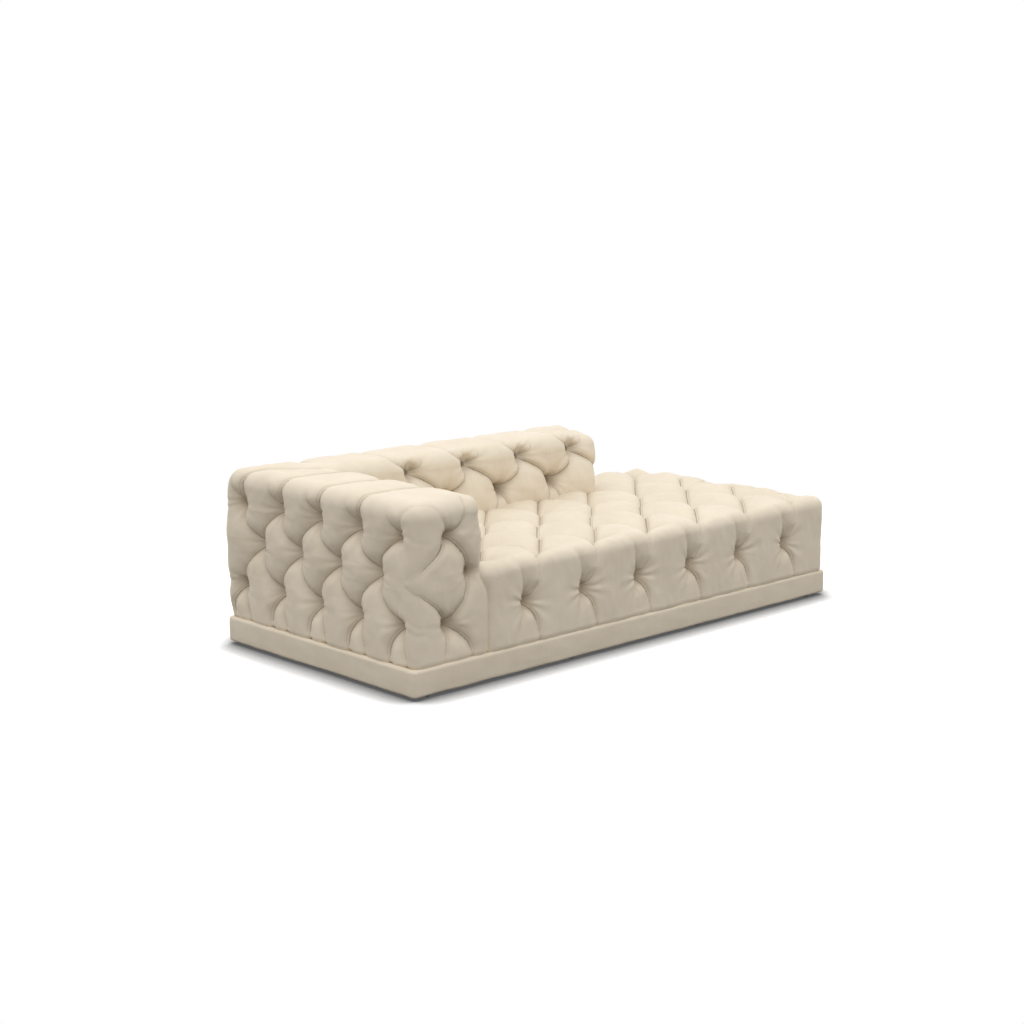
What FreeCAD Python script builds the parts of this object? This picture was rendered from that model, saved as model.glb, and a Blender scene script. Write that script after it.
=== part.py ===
import FreeCAD, Part
import math
import os
from FreeCAD import Rotation, Vector

# A tufted chaise longue: a padded plinth, a base frame with a board, a back across the head end,
# an arm along the rear side, and tufted pads over them all.
# Millimetres. X runs from the head end (-) to the foot end (+), Y from the open front (-) to the
# rear (+), Z up from the floor. The origin is on the floor, below the middle of the plinth.

doc = FreeCAD.newDocument("chaise_longue")

SIZES = {
    # overall
    "length": 2200,
    "depth": 1040,
    "overall_height": 650,
    # plinth
    "glide_height": 10,
    "glide_size": 30,
    "glide_inset": 60,
    "plinth_height": 93,
    "plinth_ledge": 15,
    "band_thickness": 20,
    "band_round": 12,
    "plinth_rail_thickness": 40,
    "plinth_cross_width": 40,
    "plinth_block": 90,
    "plinth_block_recess": 15,
    "dust_cover_thickness": 1.5,
    # base frame
    "base_rail_thickness": 30,
    "base_rail_height": 127,
    "base_block": 60,
    "board_thickness": 15,
    # back and arm frames
    "frame_rail_thickness": 28,
    "post_width": 45,
    "panel_thickness": 9,
    "back_frame_thickness": 140,
    "arm_frame_thickness": 100,
    "arm_frame_length": 1390,
    # pads
    "outer_pad": 60,
    "back_inner_pad": 100,
    "arm_inner_pad": 80,
    "top_pad": 50,
    "seat_pad_height": 165,
    "pad_edge_round": 60,
    "pillow_bulge": 4,
    "seat_tuft_depth": 40,
    "back_tuft_depth": 42,
    "arm_end_overhang": 35,
    "border_pleat_drop": 250,
    # tuft lattices
    "seat_tuft_columns": 6,
    "seat_tuft_rows": 7,
    "seat_margin_head": 208,
    "seat_margin_foot": 236,
    "seat_margin_front": 20,
    "seat_margin_rear": 60,
    "back_tuft_columns": 5,
    "back_margin": 74,
    "outer_row_low": 131,
    "outer_row_high": 112,
    "inner_row_low": 185,
    "inner_row_high": 70,
    "arm_tuft_pitch": 286,
    "arm_margin": 160,
    # fasteners and ties
    "screw_size": 5,
    "screw_head_size": 10,
    "screw_head_height": 3.5,
    "screw_recess": 4,
    "screw_length": 75,
    "glide_screw_length": 30,
    "screw_row_low": 35,
    "screw_row_high": 65,
    "bolt_size": 8,
    "bolt_head_size": 16,
    "bolt_head_height": 6,
    "base_bolt_length": 125,
    "frame_bolt_length": 105,
    "back_bolt_spacing": 90,
    "arm_bolt_spacing": 140,
    "bolt_inset": 20,
    "tie_size": 5,
    "tie_head_size": 20,
    "tie_head_height": 4,
    "fit_clearance": 0.2,
    "soft_clearance": 0.3,
}

sheet = doc.addObject("Spreadsheet::Sheet", "sizes")
for row, (alias, number) in enumerate(SIZES.items(), start=1):
    sheet.set(f"A{row}", alias)
    sheet.set(f"B{row}", str(number))
    sheet.setAlias(f"B{row}", alias)
doc.recompute()


def size(alias):
    """A driving size, read back from the sheet."""
    return float(sheet.get(alias))


# Places that several pieces share, as expressions of the sheet.
HALF_LENGTH = "sizes.length / 2"
HALF_DEPTH = "sizes.depth / 2"
PLINTH_TOP = "(sizes.glide_height + sizes.plinth_height)"
RAIL_X = f"({HALF_LENGTH} - sizes.band_thickness)"
RAIL_Y = f"({HALF_DEPTH} - sizes.band_thickness)"
INNER_X = f"({RAIL_X} - sizes.plinth_rail_thickness)"
INNER_Y = f"({RAIL_Y} - sizes.plinth_rail_thickness)"
BODY_X = f"({HALF_LENGTH} - sizes.plinth_ledge)"
BODY_Y = f"({HALF_DEPTH} - sizes.plinth_ledge)"
FRAME_X = f"({BODY_X} - sizes.outer_pad)"
FRAME_Y = f"({BODY_Y} - sizes.outer_pad)"
BASE_INNER_X = f"({FRAME_X} - sizes.base_rail_thickness)"
BASE_INNER_Y = f"({FRAME_Y} - sizes.base_rail_thickness)"
BOARD_BOTTOM = f"({PLINTH_TOP} + sizes.base_rail_height)"
BOARD_TOP = f"({BOARD_BOTTOM} + sizes.board_thickness)"
FRAME_TOP = "(sizes.overall_height - sizes.top_pad)"
BACK_INNER_X = f"(-{FRAME_X} + sizes.back_frame_thickness)"
ARM_INNER_Y = f"({FRAME_Y} - sizes.arm_frame_thickness)"
ARM_END_X = f"({BACK_INNER_X} + sizes.arm_frame_length)"

# The same places as numbers, for the lofted pads.
body_x = size("length") / 2 - size("plinth_ledge")
body_y = size("depth") / 2 - size("plinth_ledge")
frame_x = body_x - size("outer_pad")
frame_y = body_y - size("outer_pad")
plinth_top = size("glide_height") + size("plinth_height")
board_top = plinth_top + size("base_rail_height") + size("board_thickness")
frame_top = size("overall_height") - size("top_pad")
back_frame_inner = -frame_x + size("back_frame_thickness")
back_face = back_frame_inner + size("back_inner_pad")
arm_frame_inner = frame_y - size("arm_frame_thickness")
arm_face = arm_frame_inner - size("arm_inner_pad")
arm_frame_end = back_frame_inner + size("arm_frame_length")
arm_end = arm_frame_end + size("outer_pad")

# The diamond lattices: the first tuft, and half the distance between tufts of one row.
seat_columns = int(size("seat_tuft_columns"))
seat_rows = int(size("seat_tuft_rows"))
seat_first_x = back_face + size("seat_margin_head")
seat_last_x = body_x - size("seat_margin_foot")
seat_half_pitch = (seat_last_x - seat_first_x) / (seat_columns - 1) / 2
seat_first_y = -frame_y + size("base_rail_thickness") + size("seat_margin_front")
seat_row_pitch = (body_y - size("seat_margin_rear") - seat_first_y) / (seat_rows - 1)
back_columns = int(size("back_tuft_columns"))
back_first_y = -body_y + size("back_margin")
back_half_pitch = (2 * body_y - 2 * size("back_margin")) / (back_columns - 1) / 2
arm_first_x = arm_end - size("arm_margin")
arm_half_pitch = size("arm_tuft_pitch") / 2
outer_rows = [plinth_top + size("outer_row_low"), 0, size("overall_height") - size("outer_row_high")]
outer_rows[1] = (outer_rows[0] + outer_rows[2]) / 2
inner_rows = [size("overall_height") - size("inner_row_low"), size("overall_height") - size("inner_row_high")]

pieces = []


def piece(shape_object, label):
    """Names a finished sub-part and lists it for the files."""
    shape_object.Label = label
    pieces.append(shape_object)
    return shape_object


def box(name, x, y, z):
    """A board; x, y and z each give its start and its size, as expressions."""
    board = doc.addObject("Part::Box", name)
    for axis, side, (start, extent) in zip("xyz", ("Length", "Width", "Height"), (x, y, z)):
        board.setExpression(side, extent)
        board.setExpression(f"Placement.Base.{axis}", start)
    return board


def group(name, members):
    """Like pieces of one node, as separate solids."""
    together = doc.addObject("Part::Compound", name)
    together.Links = members
    return together


def cut(name, blank, tools):
    """A blank with every tool taken out of it."""
    tool = tools[0] if len(tools) == 1 else group(f"{name}_holes", tools)
    remainder = doc.addObject("Part::Cut", name)
    remainder.Base = blank
    remainder.Tool = tool
    return remainder


def pin(name, head_size, head_height, shank_size, shank_length):
    """A round head above z = 0 with its shank below, sizes as expressions."""
    parts = []
    for part, across, height, start in (
        ("head", head_size, head_height, "0"),
        ("shank", shank_size, shank_length, f"-({shank_length})"),
    ):
        cylinder = doc.addObject("Part::Cylinder", f"{name}_{part}")
        cylinder.setExpression("Radius", f"({across}) / 2")
        cylinder.setExpression("Height", height)
        cylinder.setExpression("Placement.Base.z", start)
        parts.append(cylinder)
    whole = doc.addObject("Part::MultiFuse", name)
    whole.Shapes = parts
    return whole


def fastener(name, kind, shank_length, head_room):
    """A screw, bolt or tie, and the bore that it takes with the fit clearance all round."""
    head_size = f"sizes.{kind}_head_size"
    head_height = f"sizes.{kind}_head_height"
    shank_size = f"sizes.{kind}_size"
    wider = "+ 2 * sizes.fit_clearance"
    real = pin(name, head_size, head_height, shank_size, shank_length)
    bore = pin(
        f"{name}_bore",
        f"{head_size} {wider}",
        f"{head_height} + {head_room}",
        f"{shank_size} {wider}",
        f"{shank_length} + sizes.fit_clearance",
    )
    return real, bore


def copies(name, source, places, turn):
    """The source at each place (x, y, z as expressions), turned alike."""
    links = []
    for count, place in enumerate(places):
        link = doc.addObject("App::Link", f"{name}_{count}")
        link.LinkedObject = source
        link.Placement.Rotation = turn
        for axis, expression in zip("xyz", place):
            link.setExpression(f"Placement.Base.{axis}", expression)
        links.append(link)
    return group(name, links)


UPRIGHT = Rotation()
FROM_BELOW = Rotation(Vector(1, 0, 0), 180)
FROM_FRONT = Rotation(Vector(1, 0, 0), 90)
FROM_REAR = Rotation(Vector(1, 0, 0), -90)
FROM_HEAD = Rotation(Vector(0, 1, 0), -90)
FROM_FOOT = Rotation(Vector(0, 1, 0), 90)

wood_screw, screw_bore = fastener("wood_screw", "screw", "sizes.screw_length", "sizes.screw_recess")
glide_screw, glide_screw_bore = fastener(
    "glide_screw", "screw", "sizes.glide_screw_length", "sizes.screw_recess"
)
base_bolt, base_bolt_bore = fastener("base_bolt", "bolt", "sizes.base_bolt_length", "0")
frame_bolt, frame_bolt_bore = fastener("frame_bolt", "bolt", "sizes.frame_bolt_length", "0")

# Plinth frame: four rails with butted corners, cross rails from front to rear, and corner blocks
# screwed behind the long rails.
long_rails = {"front": f"-{RAIL_Y}", "rear": INNER_Y}
short_rails = {"head": f"-{RAIL_X}", "foot": INNER_X}
plinth_z = ("sizes.glide_height", "sizes.plinth_height")
glide_steps = (-3, -1, 1, 3)
corners = [(x, y) for x in (-1, 1) for y in (-1, 1)]
block_x = f"({INNER_X} - sizes.plinth_block / 2)"

screw_places = {"front": [], "rear": []}
for side, sign in (("front", -1), ("rear", 1)):
    for end in (-1, 1):
        for height in ("sizes.screw_row_low", "sizes.screw_row_high"):
            screw_places[side].append((
                f"{end} * {block_x}",
                f"{sign} * ({RAIL_Y} - sizes.screw_recess)",
                f"sizes.glide_height + {height}",
            ))
screw_turns = {"front": FROM_FRONT, "rear": FROM_REAR}
plinth_screw_bores = {
    side: copies(f"plinth_screw_bores_{side}", screw_bore, screw_places[side], screw_turns[side])
    for side in screw_places
}
plinth_screws = [
    copies(f"plinth_screws_{side}", wood_screw, screw_places[side], screw_turns[side])
    for side in screw_places
]
piece(group("plinth_corner_screws_group", plinth_screws), "plinth_corner_screws")

glide_x = f"(({RAIL_X} - sizes.glide_inset) / 3)"
glide_y = f"({RAIL_Y} - sizes.plinth_rail_thickness / 2)"
glide_places = {
    side: [(f"{step} * {glide_x}", f"{sign} * {glide_y}", "sizes.screw_recess") for step in glide_steps]
    for side, sign in (("front", -1), ("rear", 1))
}
rail_run = (f"-{RAIL_X}", f"2 * {RAIL_X}")
plinth_span = (f"-{INNER_Y}", f"2 * {INNER_Y}")
for side, start in long_rails.items():
    blank = box(f"plinth_rail_{side}_blank", rail_run, (start, "sizes.plinth_rail_thickness"), plinth_z)
    glide_bores = copies(f"glide_bores_{side}", glide_screw_bore, glide_places[side], FROM_BELOW)
    rail = cut(f"plinth_rail_{side}_bored", blank, [glide_bores, plinth_screw_bores[side]])
    piece(rail, f"plinth_rail_{side}")
for end, start in short_rails.items():
    rail = box(f"plinth_rail_{end}_board", (start, "sizes.plinth_rail_thickness"), plinth_span, plinth_z)
    piece(rail, f"plinth_rail_{end}")

cross_spacing = f"(({INNER_X} - sizes.plinth_block) / 3)"
cross_rails = [
    box(
        f"plinth_cross_rail_{step + 2}",
        (f"{step} * {cross_spacing} - sizes.plinth_cross_width / 2", "sizes.plinth_cross_width"),
        plinth_span,
        plinth_z,
    )
    for step in range(-2, 3)
]
piece(group("plinth_cross_rails_group", cross_rails), "plinth_cross_rails")

# Each plinth block carries a corner of the base frame, and a bolt goes up through both.
bolt_x = f"({BASE_INNER_X} - sizes.bolt_inset)"
bolt_y = f"({BASE_INNER_Y} - sizes.bolt_inset)"
block_bottom = "(sizes.glide_height + sizes.plinth_block_recess)"
base_bolt_places = [(f"{x} * {bolt_x}", f"{y} * {bolt_y}", block_bottom) for x, y in corners]
plinth_blocks = [
    box(
        f"plinth_block_{count}",
        (f"{x} * {block_x} - sizes.plinth_block / 2", "sizes.plinth_block"),
        (f"{y} * ({INNER_Y} - sizes.plinth_block / 2) - sizes.plinth_block / 2", "sizes.plinth_block"),
        (block_bottom, "sizes.plinth_height - sizes.plinth_block_recess"),
    )
    for count, (x, y) in enumerate(corners)
]
bolt_bores = copies("base_bolt_bores", base_bolt_bore, base_bolt_places, FROM_BELOW)
piece(
    cut(
        "plinth_blocks_bored",
        group("plinth_blocks_group", plinth_blocks),
        [bolt_bores, plinth_screw_bores["front"], plinth_screw_bores["rear"]],
    ),
    "plinth_corner_blocks",
)
piece(copies("base_bolts_group", base_bolt, base_bolt_places, FROM_BELOW), "base_bolts")

# Glides: turned feet under the long rails, each with a countersunk screw, and the dust cover
# between the rails.
glide_blank = doc.addObject("Part::Cylinder", "glide_blank")
glide_blank.setExpression("Radius", "sizes.glide_size / 2")
glide_blank.setExpression("Height", "sizes.glide_height")
glide_hole = copies("glide_hole", glide_screw_bore, [("0", "0", "sizes.screw_recess")], FROM_BELOW)
glide = cut("glide", glide_blank, [glide_hole])
all_glides = glide_places["front"] + glide_places["rear"]
piece(copies("glides_group", glide, [(x, y, "0") for x, y, z in all_glides], UPRIGHT), "glides")
piece(copies("glide_screws_group", glide_screw, all_glides, FROM_BELOW), "glide_screws")
piece(
    box(
        "dust_cover_sheet",
        (f"-({INNER_X} - sizes.soft_clearance)", f"2 * ({INNER_X} - sizes.soft_clearance)"),
        (f"-({INNER_Y} - sizes.soft_clearance)", f"2 * ({INNER_Y} - sizes.soft_clearance)"),
        ("sizes.glide_height - sizes.dust_cover_thickness", "sizes.dust_cover_thickness"),
    ),
    "dust_cover",
)


FLAT = 1e-6


def band(end, half_run, distance, turn):
    """A padded strip along one side of the plinth, mitred at its ends and rounded outside."""
    strip = doc.addObject("Part::Wedge", f"plinth_band_{end}_strip")
    for prop, expression in {
        "Xmin": f"-{half_run}",
        "Xmax": half_run,
        "X2min": f"-({half_run} - sizes.band_thickness)",
        "X2max": f"{half_run} - sizes.band_thickness",
        "Ymin": "0",
        "Ymax": "sizes.band_thickness",
        "Zmin": "0",
        "Zmax": "sizes.plinth_height",
        "Z2min": "0",
        "Z2max": "sizes.plinth_height",
    }.items():
        strip.setExpression(prop, expression)
    doc.recompute()
    radius = size("band_round")
    outer_edges = [
        number
        for number, edge in enumerate(strip.Shape.Edges, start=1)
        if edge.BoundBox.YMax < FLAT and edge.BoundBox.ZLength < FLAT
    ]
    rounded = doc.addObject("Part::Fillet", f"plinth_band_{end}_rounded")
    rounded.Base = strip
    rounded.Edges = [(number, radius, radius) for number in outer_edges]
    rounded.Placement.Rotation = turn
    for axis, expression in zip("xyz", (distance[0], distance[1], "sizes.glide_height")):
        rounded.setExpression(f"Placement.Base.{axis}", expression)
    return piece(rounded, f"plinth_band_{end}")


band("front", HALF_LENGTH, ("0", f"-{HALF_DEPTH}"), UPRIGHT)
band("rear", HALF_LENGTH, ("0", HALF_DEPTH), Rotation(Vector(0, 0, 1), 180))
band("head", HALF_DEPTH, (f"-{HALF_LENGTH}", "0"), Rotation(Vector(0, 0, 1), -90))
band("foot", HALF_DEPTH, (HALF_LENGTH, "0"), Rotation(Vector(0, 0, 1), 90))

# Half columns of the lattices along the back and, from its free end, along the arm. Posts stand
# between the tufts, and the bolts that hold the back and the arm down stand beside the posts.
BACK_PITCH = f"((2 * {BODY_Y} - 2 * sizes.back_margin) / (sizes.back_tuft_columns - 1))"
BACK_FIRST_Y = f"(-{BODY_Y} + sizes.back_margin)"
ARM_FIRST_X = f"({ARM_END_X} + sizes.outer_pad - sizes.arm_margin)"


def back_column(step):
    """Y of a half column of the back's lattice."""
    return f"{BACK_FIRST_Y} + {step} * {BACK_PITCH} / 2"


def arm_column(step):
    """X of a half column of the arm's lattice, counted from its free end."""
    return f"{ARM_FIRST_X} - {step} * sizes.arm_tuft_pitch / 2"


# Base frame: a box of rails on the plinth's blocks and cross rails, with its own cross rails
# halfway between the columns of tufts, under one board.
base_z = (PLINTH_TOP, "sizes.base_rail_height")
back_bolt_x = f"(-{FRAME_X} + sizes.bolt_inset)"
arm_bolt_y = f"({FRAME_Y} - sizes.bolt_inset)"
frame_bolt_z = f"({BOARD_TOP} + sizes.frame_rail_thickness)"
last_back_column = 2 * (back_columns - 1)
back_posts = [back_column(2.5), back_column(last_back_column - 2.5)]
arm_posts = [arm_column(4.5), arm_column(1.5)]
back_bolt_places = [
    (back_bolt_x, f"{post} + {side} * sizes.back_bolt_spacing", frame_bolt_z)
    for post in back_posts
    for side in (-1, 1)
]
arm_bolt_places = [
    (f"{post} + {side} * sizes.arm_bolt_spacing", arm_bolt_y, frame_bolt_z)
    for post in arm_posts
    for side in (-1, 1)
]
back_bolt_bores = copies("back_bolt_bores", frame_bolt_bore, back_bolt_places, UPRIGHT)
arm_bolt_bores = copies("arm_bolt_bores", frame_bolt_bore, arm_bolt_places, UPRIGHT)
base_screw_x = f"({BASE_INNER_X} - 3 * sizes.base_block / 4)"
base_screw_places = {
    side: [
        (
            f"{end} * {base_screw_x}",
            f"{sign} * ({FRAME_Y} - sizes.screw_recess)",
            f"{BOARD_BOTTOM} - {height}",
        )
        for end in (-1, 1)
        for height in ("sizes.screw_row_low", "sizes.screw_row_high")
    ]
    for side, sign in (("front", -1), ("rear", 1))
}
base_screw_bores = {
    side: copies(f"base_screw_bores_{side}", screw_bore, base_screw_places[side], screw_turns[side])
    for side in base_screw_places
}
base_screws = [
    copies(f"base_screws_{side}", wood_screw, base_screw_places[side], screw_turns[side])
    for side in base_screw_places
]
piece(group("base_corner_screws_group", base_screws), "base_corner_screws")
base_run = (f"-{FRAME_X}", f"2 * {FRAME_X}")
base_front = box("base_rail_front_blank", base_run, (f"-{FRAME_Y}", "sizes.base_rail_thickness"), base_z)
base_rear = box("base_rail_rear_blank", base_run, (BASE_INNER_Y, "sizes.base_rail_thickness"), base_z)
base_span = (f"-{BASE_INNER_Y}", f"2 * {BASE_INNER_Y}")
base_head = box("base_rail_head_blank", (f"-{FRAME_X}", "sizes.base_rail_thickness"), base_span, base_z)
base_foot = box("base_rail_foot_board", (BASE_INNER_X, "sizes.base_rail_thickness"), base_span, base_z)
piece(cut("base_rail_front_bored", base_front, [base_screw_bores["front"]]), "base_rail_front")
piece(cut("base_rail_rear_bored", base_rear, [base_screw_bores["rear"], arm_bolt_bores]), "base_rail_rear")
piece(cut("base_rail_head_bored", base_head, [back_bolt_bores]), "base_rail_head")
piece(base_foot, "base_rail_foot")

SEAT_PITCH = (
    f"((2 * {BODY_X} - sizes.outer_pad - sizes.back_frame_thickness - sizes.back_inner_pad"
    " - sizes.seat_margin_head - sizes.seat_margin_foot) / (sizes.seat_tuft_columns - 1))"
)
SEAT_FIRST_X = f"({BACK_INNER_X} + sizes.back_inner_pad + sizes.seat_margin_head)"
base_cross = [
    box(
        f"base_cross_rail_{step}",
        (
            f"{SEAT_FIRST_X} + {step - 0.75} * {SEAT_PITCH} - sizes.base_rail_thickness / 2",
            "sizes.base_rail_thickness",
        ),
        base_span,
        base_z,
    )
    for step in range(seat_columns)
]
piece(group("base_cross_rails_group", base_cross), "base_cross_rails")

base_blocks = [
    box(
        f"base_block_{count}",
        (f"{x} * ({BASE_INNER_X} - sizes.base_block / 2) - sizes.base_block / 2", "sizes.base_block"),
        (f"{y} * ({BASE_INNER_Y} - sizes.base_block / 2) - sizes.base_block / 2", "sizes.base_block"),
        base_z,
    )
    for count, (x, y) in enumerate(corners)
]
piece(
    cut(
        "base_blocks_bored",
        group("base_blocks_group", base_blocks),
        [bolt_bores, base_screw_bores["front"], base_screw_bores["rear"]],
    ),
    "base_corner_blocks",
)

# Seat board with a tie through it below every tuft of the open seat.
seat_tie, seat_tie_bore = fastener("seat_tie", "tie", "sizes.board_thickness", "0")
panel_tie, panel_tie_bore = fastener("panel_tie", "tie", "sizes.panel_thickness", "0")
SEAT_FIRST_Y = f"(-{BASE_INNER_Y} + sizes.seat_margin_front)"
ROW_PITCH = f"(({BODY_Y} - sizes.seat_margin_rear - {SEAT_FIRST_Y}) / (sizes.seat_tuft_rows - 1))"
seat_tie_places = []
for column in range(-1, 2 * seat_columns - 1):
    for row in range(1, seat_rows):
        tuft_x = seat_first_x + column * seat_half_pitch
        tuft_y = seat_first_y + (row - 1) * seat_row_pitch
        under_arm = tuft_y > arm_face - size("tie_head_size") and tuft_x < arm_end + size("tie_head_size")
        if (column + row) % 2 == 0 and not under_arm:
            seat_tie_places.append((
                f"{SEAT_FIRST_X} + {column} * {SEAT_PITCH} / 2",
                f"{SEAT_FIRST_Y} + {row - 1} * {ROW_PITCH}",
                BOARD_BOTTOM,
            ))
seat_tie_bores = copies("seat_tie_bores", seat_tie_bore, seat_tie_places, FROM_BELOW)
board_blank = box(
    "seat_board_blank",
    base_run,
    (f"-{FRAME_Y}", f"2 * {FRAME_Y}"),
    (BOARD_BOTTOM, "sizes.board_thickness"),
)
piece(cut("seat_board_bored", board_blank, [seat_tie_bores, back_bolt_bores, arm_bolt_bores]), "seat_board")
piece(copies("seat_ties_group", seat_tie, seat_tie_places, FROM_BELOW), "seat_tuft_ties")


def upper_frame(name, along, run, across, panels, post_places, bolts, ties):
    """A back or arm frame on the board: two rails, posts between them and a panel on each side.

    along is X or Y; run and across give start and size along and across the frame; panels gives
    the start of the outer and of the inner panel; ties gives the places and the turn per panel.
    """
    rail = "sizes.frame_rail_thickness"
    levels = {"bottom": BOARD_TOP, "top": f"{FRAME_TOP} - {rail}"}
    bolt_places, bolt_holes = bolts

    def beam(label, span, height):
        x, y = (span, across) if along == "x" else (across, span)
        return box(label, x, y, height)

    bottom = beam(f"{name}_bottom_rail_blank", run, (levels["bottom"], rail))
    piece(cut(f"{name}_bottom_rail_bored", bottom, [bolt_holes]), f"{name}_bottom_rail")
    piece(beam(f"{name}_top_rail_board", run, (levels["top"], rail)), f"{name}_top_rail")
    post_z = (f"{BOARD_TOP} + {rail}", f"{FRAME_TOP} - {BOARD_TOP} - 2 * {rail}")
    posts = [
        beam(f"{name}_post_{count}", (f"{place} - sizes.post_width / 2", "sizes.post_width"), post_z)
        for count, place in enumerate(post_places)
    ]
    piece(group(f"{name}_posts_group", posts), f"{name}_posts")
    tie_nodes = []
    for face, start in panels.items():
        places, turn = ties[face]
        span = (start, "sizes.panel_thickness")
        x, y = (run, span) if along == "x" else (span, run)
        blank = box(f"{name}_{face}_panel_blank", x, y, (BOARD_TOP, f"{FRAME_TOP} - {BOARD_TOP}"))
        bores = copies(f"{name}_{face}_tie_bores", panel_tie_bore, places, turn)
        piece(cut(f"{name}_{face}_panel_bored", blank, [bores]), f"{name}_{face}_panel")
        tie_nodes.append(copies(f"{name}_{face}_ties", panel_tie, places, turn))
    piece(group(f"{name}_ties_group", tie_nodes), f"{name}_tuft_ties")
    piece(copies(f"{name}_bolts_group", frame_bolt, bolt_places, UPRIGHT), f"{name}_bolts")


# Back frame across the head end. Tufts tie through its panels between the posts.
OUTER_LOW = f"({PLINTH_TOP} + sizes.outer_row_low)"
OUTER_HIGH = "(sizes.overall_height - sizes.outer_row_high)"
OUTER_MIDDLE = f"(({OUTER_LOW} + {OUTER_HIGH}) / 2)"
INNER_LOW = "(sizes.overall_height - sizes.inner_row_low)"
post_edge = f"({FRAME_Y} - sizes.post_width / 2)"
back_tie_x = f"(-{FRAME_X} + sizes.panel_thickness)"
back_tie_inner_x = f"({BACK_INNER_X} - sizes.panel_thickness)"
back_ties = {
    "outer": (
        [(back_tie_x, back_column(step), OUTER_HIGH) for step in range(2, last_back_column, 2)]
        + [(back_tie_x, back_column(step), OUTER_MIDDLE) for step in range(1, last_back_column, 2)],
        FROM_FOOT,
    ),
    "inner": (
        [
            (back_tie_inner_x, back_column(step), INNER_LOW)
            for step in range(1, last_back_column, 2)
            if back_first_y + step * back_half_pitch < arm_face
        ],
        FROM_HEAD,
    ),
}
upper_frame(
    "back",
    "y",
    (f"-{FRAME_Y}", f"2 * {FRAME_Y}"),
    (back_tie_x, "sizes.back_frame_thickness - 2 * sizes.panel_thickness"),
    {"outer": f"-{FRAME_X}", "inner": back_tie_inner_x},
    [f"-{post_edge}", *back_posts, post_edge],
    (back_bolt_places, back_bolt_bores),
    back_ties,
)

# Arm frame along the rear side, from the back's inner panel.
arm_tie_y = f"({FRAME_Y} - sizes.panel_thickness)"
arm_tie_inner_y = f"({ARM_INNER_Y} + sizes.panel_thickness)"
arm_steps = int((arm_first_x - back_face) / arm_half_pitch) + 1
arm_ties = {
    "outer": (
        [(arm_column(step), arm_tie_y, OUTER_HIGH) for step in range(0, arm_steps, 2)]
        + [(arm_column(step), arm_tie_y, OUTER_MIDDLE) for step in range(1, arm_steps, 2)],
        FROM_FRONT,
    ),
    "inner": ([(arm_column(step), arm_tie_inner_y, INNER_LOW) for step in range(1, arm_steps, 2)], FROM_REAR),
}
upper_frame(
    "arm",
    "x",
    (BACK_INNER_X, "sizes.arm_frame_length"),
    (arm_tie_inner_y, "sizes.arm_frame_thickness - 2 * sizes.panel_thickness"),
    {"outer": arm_tie_y, "inner": ARM_INNER_Y},
    [f"{BACK_INNER_X} + sizes.post_width / 2", *arm_posts, f"{ARM_END_X} - sizes.post_width / 2"],
    (arm_bolt_places, arm_bolt_bores),
    arm_ties,
)


# Tufted pads. A pad is a ruled loft through sections a quarter pitch apart. Each stop of a section
# is a place on the full face, its outward direction and how far the tufting draws it in.
# Shares of the tuft depth: halfway along a pleat, on an upright edge, at a hem, over a top edge and
# on the top. CROWN is the power that rounds a pillow.
PLEAT = 0.5
PINCH = 0.45
HEM = 0.4
RIDGE = 0.45
TOP_RIDGE = 0.25
CROWN = 0.6
# Rows of the wall's lattice where its foot meets the plinth and halfway up to the lowest tufts.
FOOT_ROW = 0.2
LOW_ROW = 0.6
# Shares of the edge rounding: where a rounded end starts, and how far its last two sections close in.
END_START = 0.8
END_NEAR = 0.25
END_NEAR_CLOSE = 0.17
END_CLOSE = 0.5
TOP_CLOSE = 0.7


def diamond(column, row):
    """Share of the tuft depth in a diamond lattice: 1 at a tuft, PLEAT amid a pleat, 0 on a crown."""
    along = math.pi * (column + row) / 2
    across = math.pi * (column - row) / 2
    crown = abs(math.sin(along) * math.sin(across)) ** CROWN
    clear_of_tuft = 1 - (math.cos(along) * math.cos(across)) ** 2
    return 1 - (1 - PLEAT) * crown - PLEAT * clear_of_tuft


def straight(column, share):
    """Share of the tuft depth where pleats run straight across: greatest on the even columns."""
    return share * math.cos(math.pi * column / 2) ** 4


def loft(stations, stops, place):
    """A closed solid through one section per station (column, place along the loft, shrink).

    stops(column, shrink) gives a section's corners, each (p, q, out_p, out_q, drawn_in, bulge). The
    edge after a corner is an arc with that bulge to the left of its direction, or a line for 0.
    """
    wires = []
    for column, along, shrink in stations:
        section = stops(column, shrink)
        drawn = [(p - out_p * inward, q - out_q * inward) for p, q, out_p, out_q, inward, bulge in section]
        edges = []
        for (p, q), (p_next, q_next), stop in zip(drawn, drawn[1:] + drawn[:1], section):
            start = place(along, p, q)
            end = place(along, p_next, q_next)
            bulge = stop[5]
            if bulge == 0:
                edges.append(Part.LineSegment(start, end).toShape())
                continue
            run = math.hypot(p_next - p, q_next - q)
            middle_p = (p + p_next) / 2 - (q_next - q) / run * bulge
            middle_q = (q + q_next) / 2 + (p_next - p) / run * bulge
            edges.append(Part.Arc(start, place(along, middle_p, middle_q), end).toShape())
        wires.append(Part.Wire(edges))
    return Part.makeLoft(wires, True, True)


def quarters(first, last, start, half_pitch):
    """Stations a quarter pitch apart, from column first to column last."""
    columns = [first + k / 2 for k in range(int(round(2 * (last - first))) + 1)]
    return [(column, start + column * half_pitch, 0) for column in columns]


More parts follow.
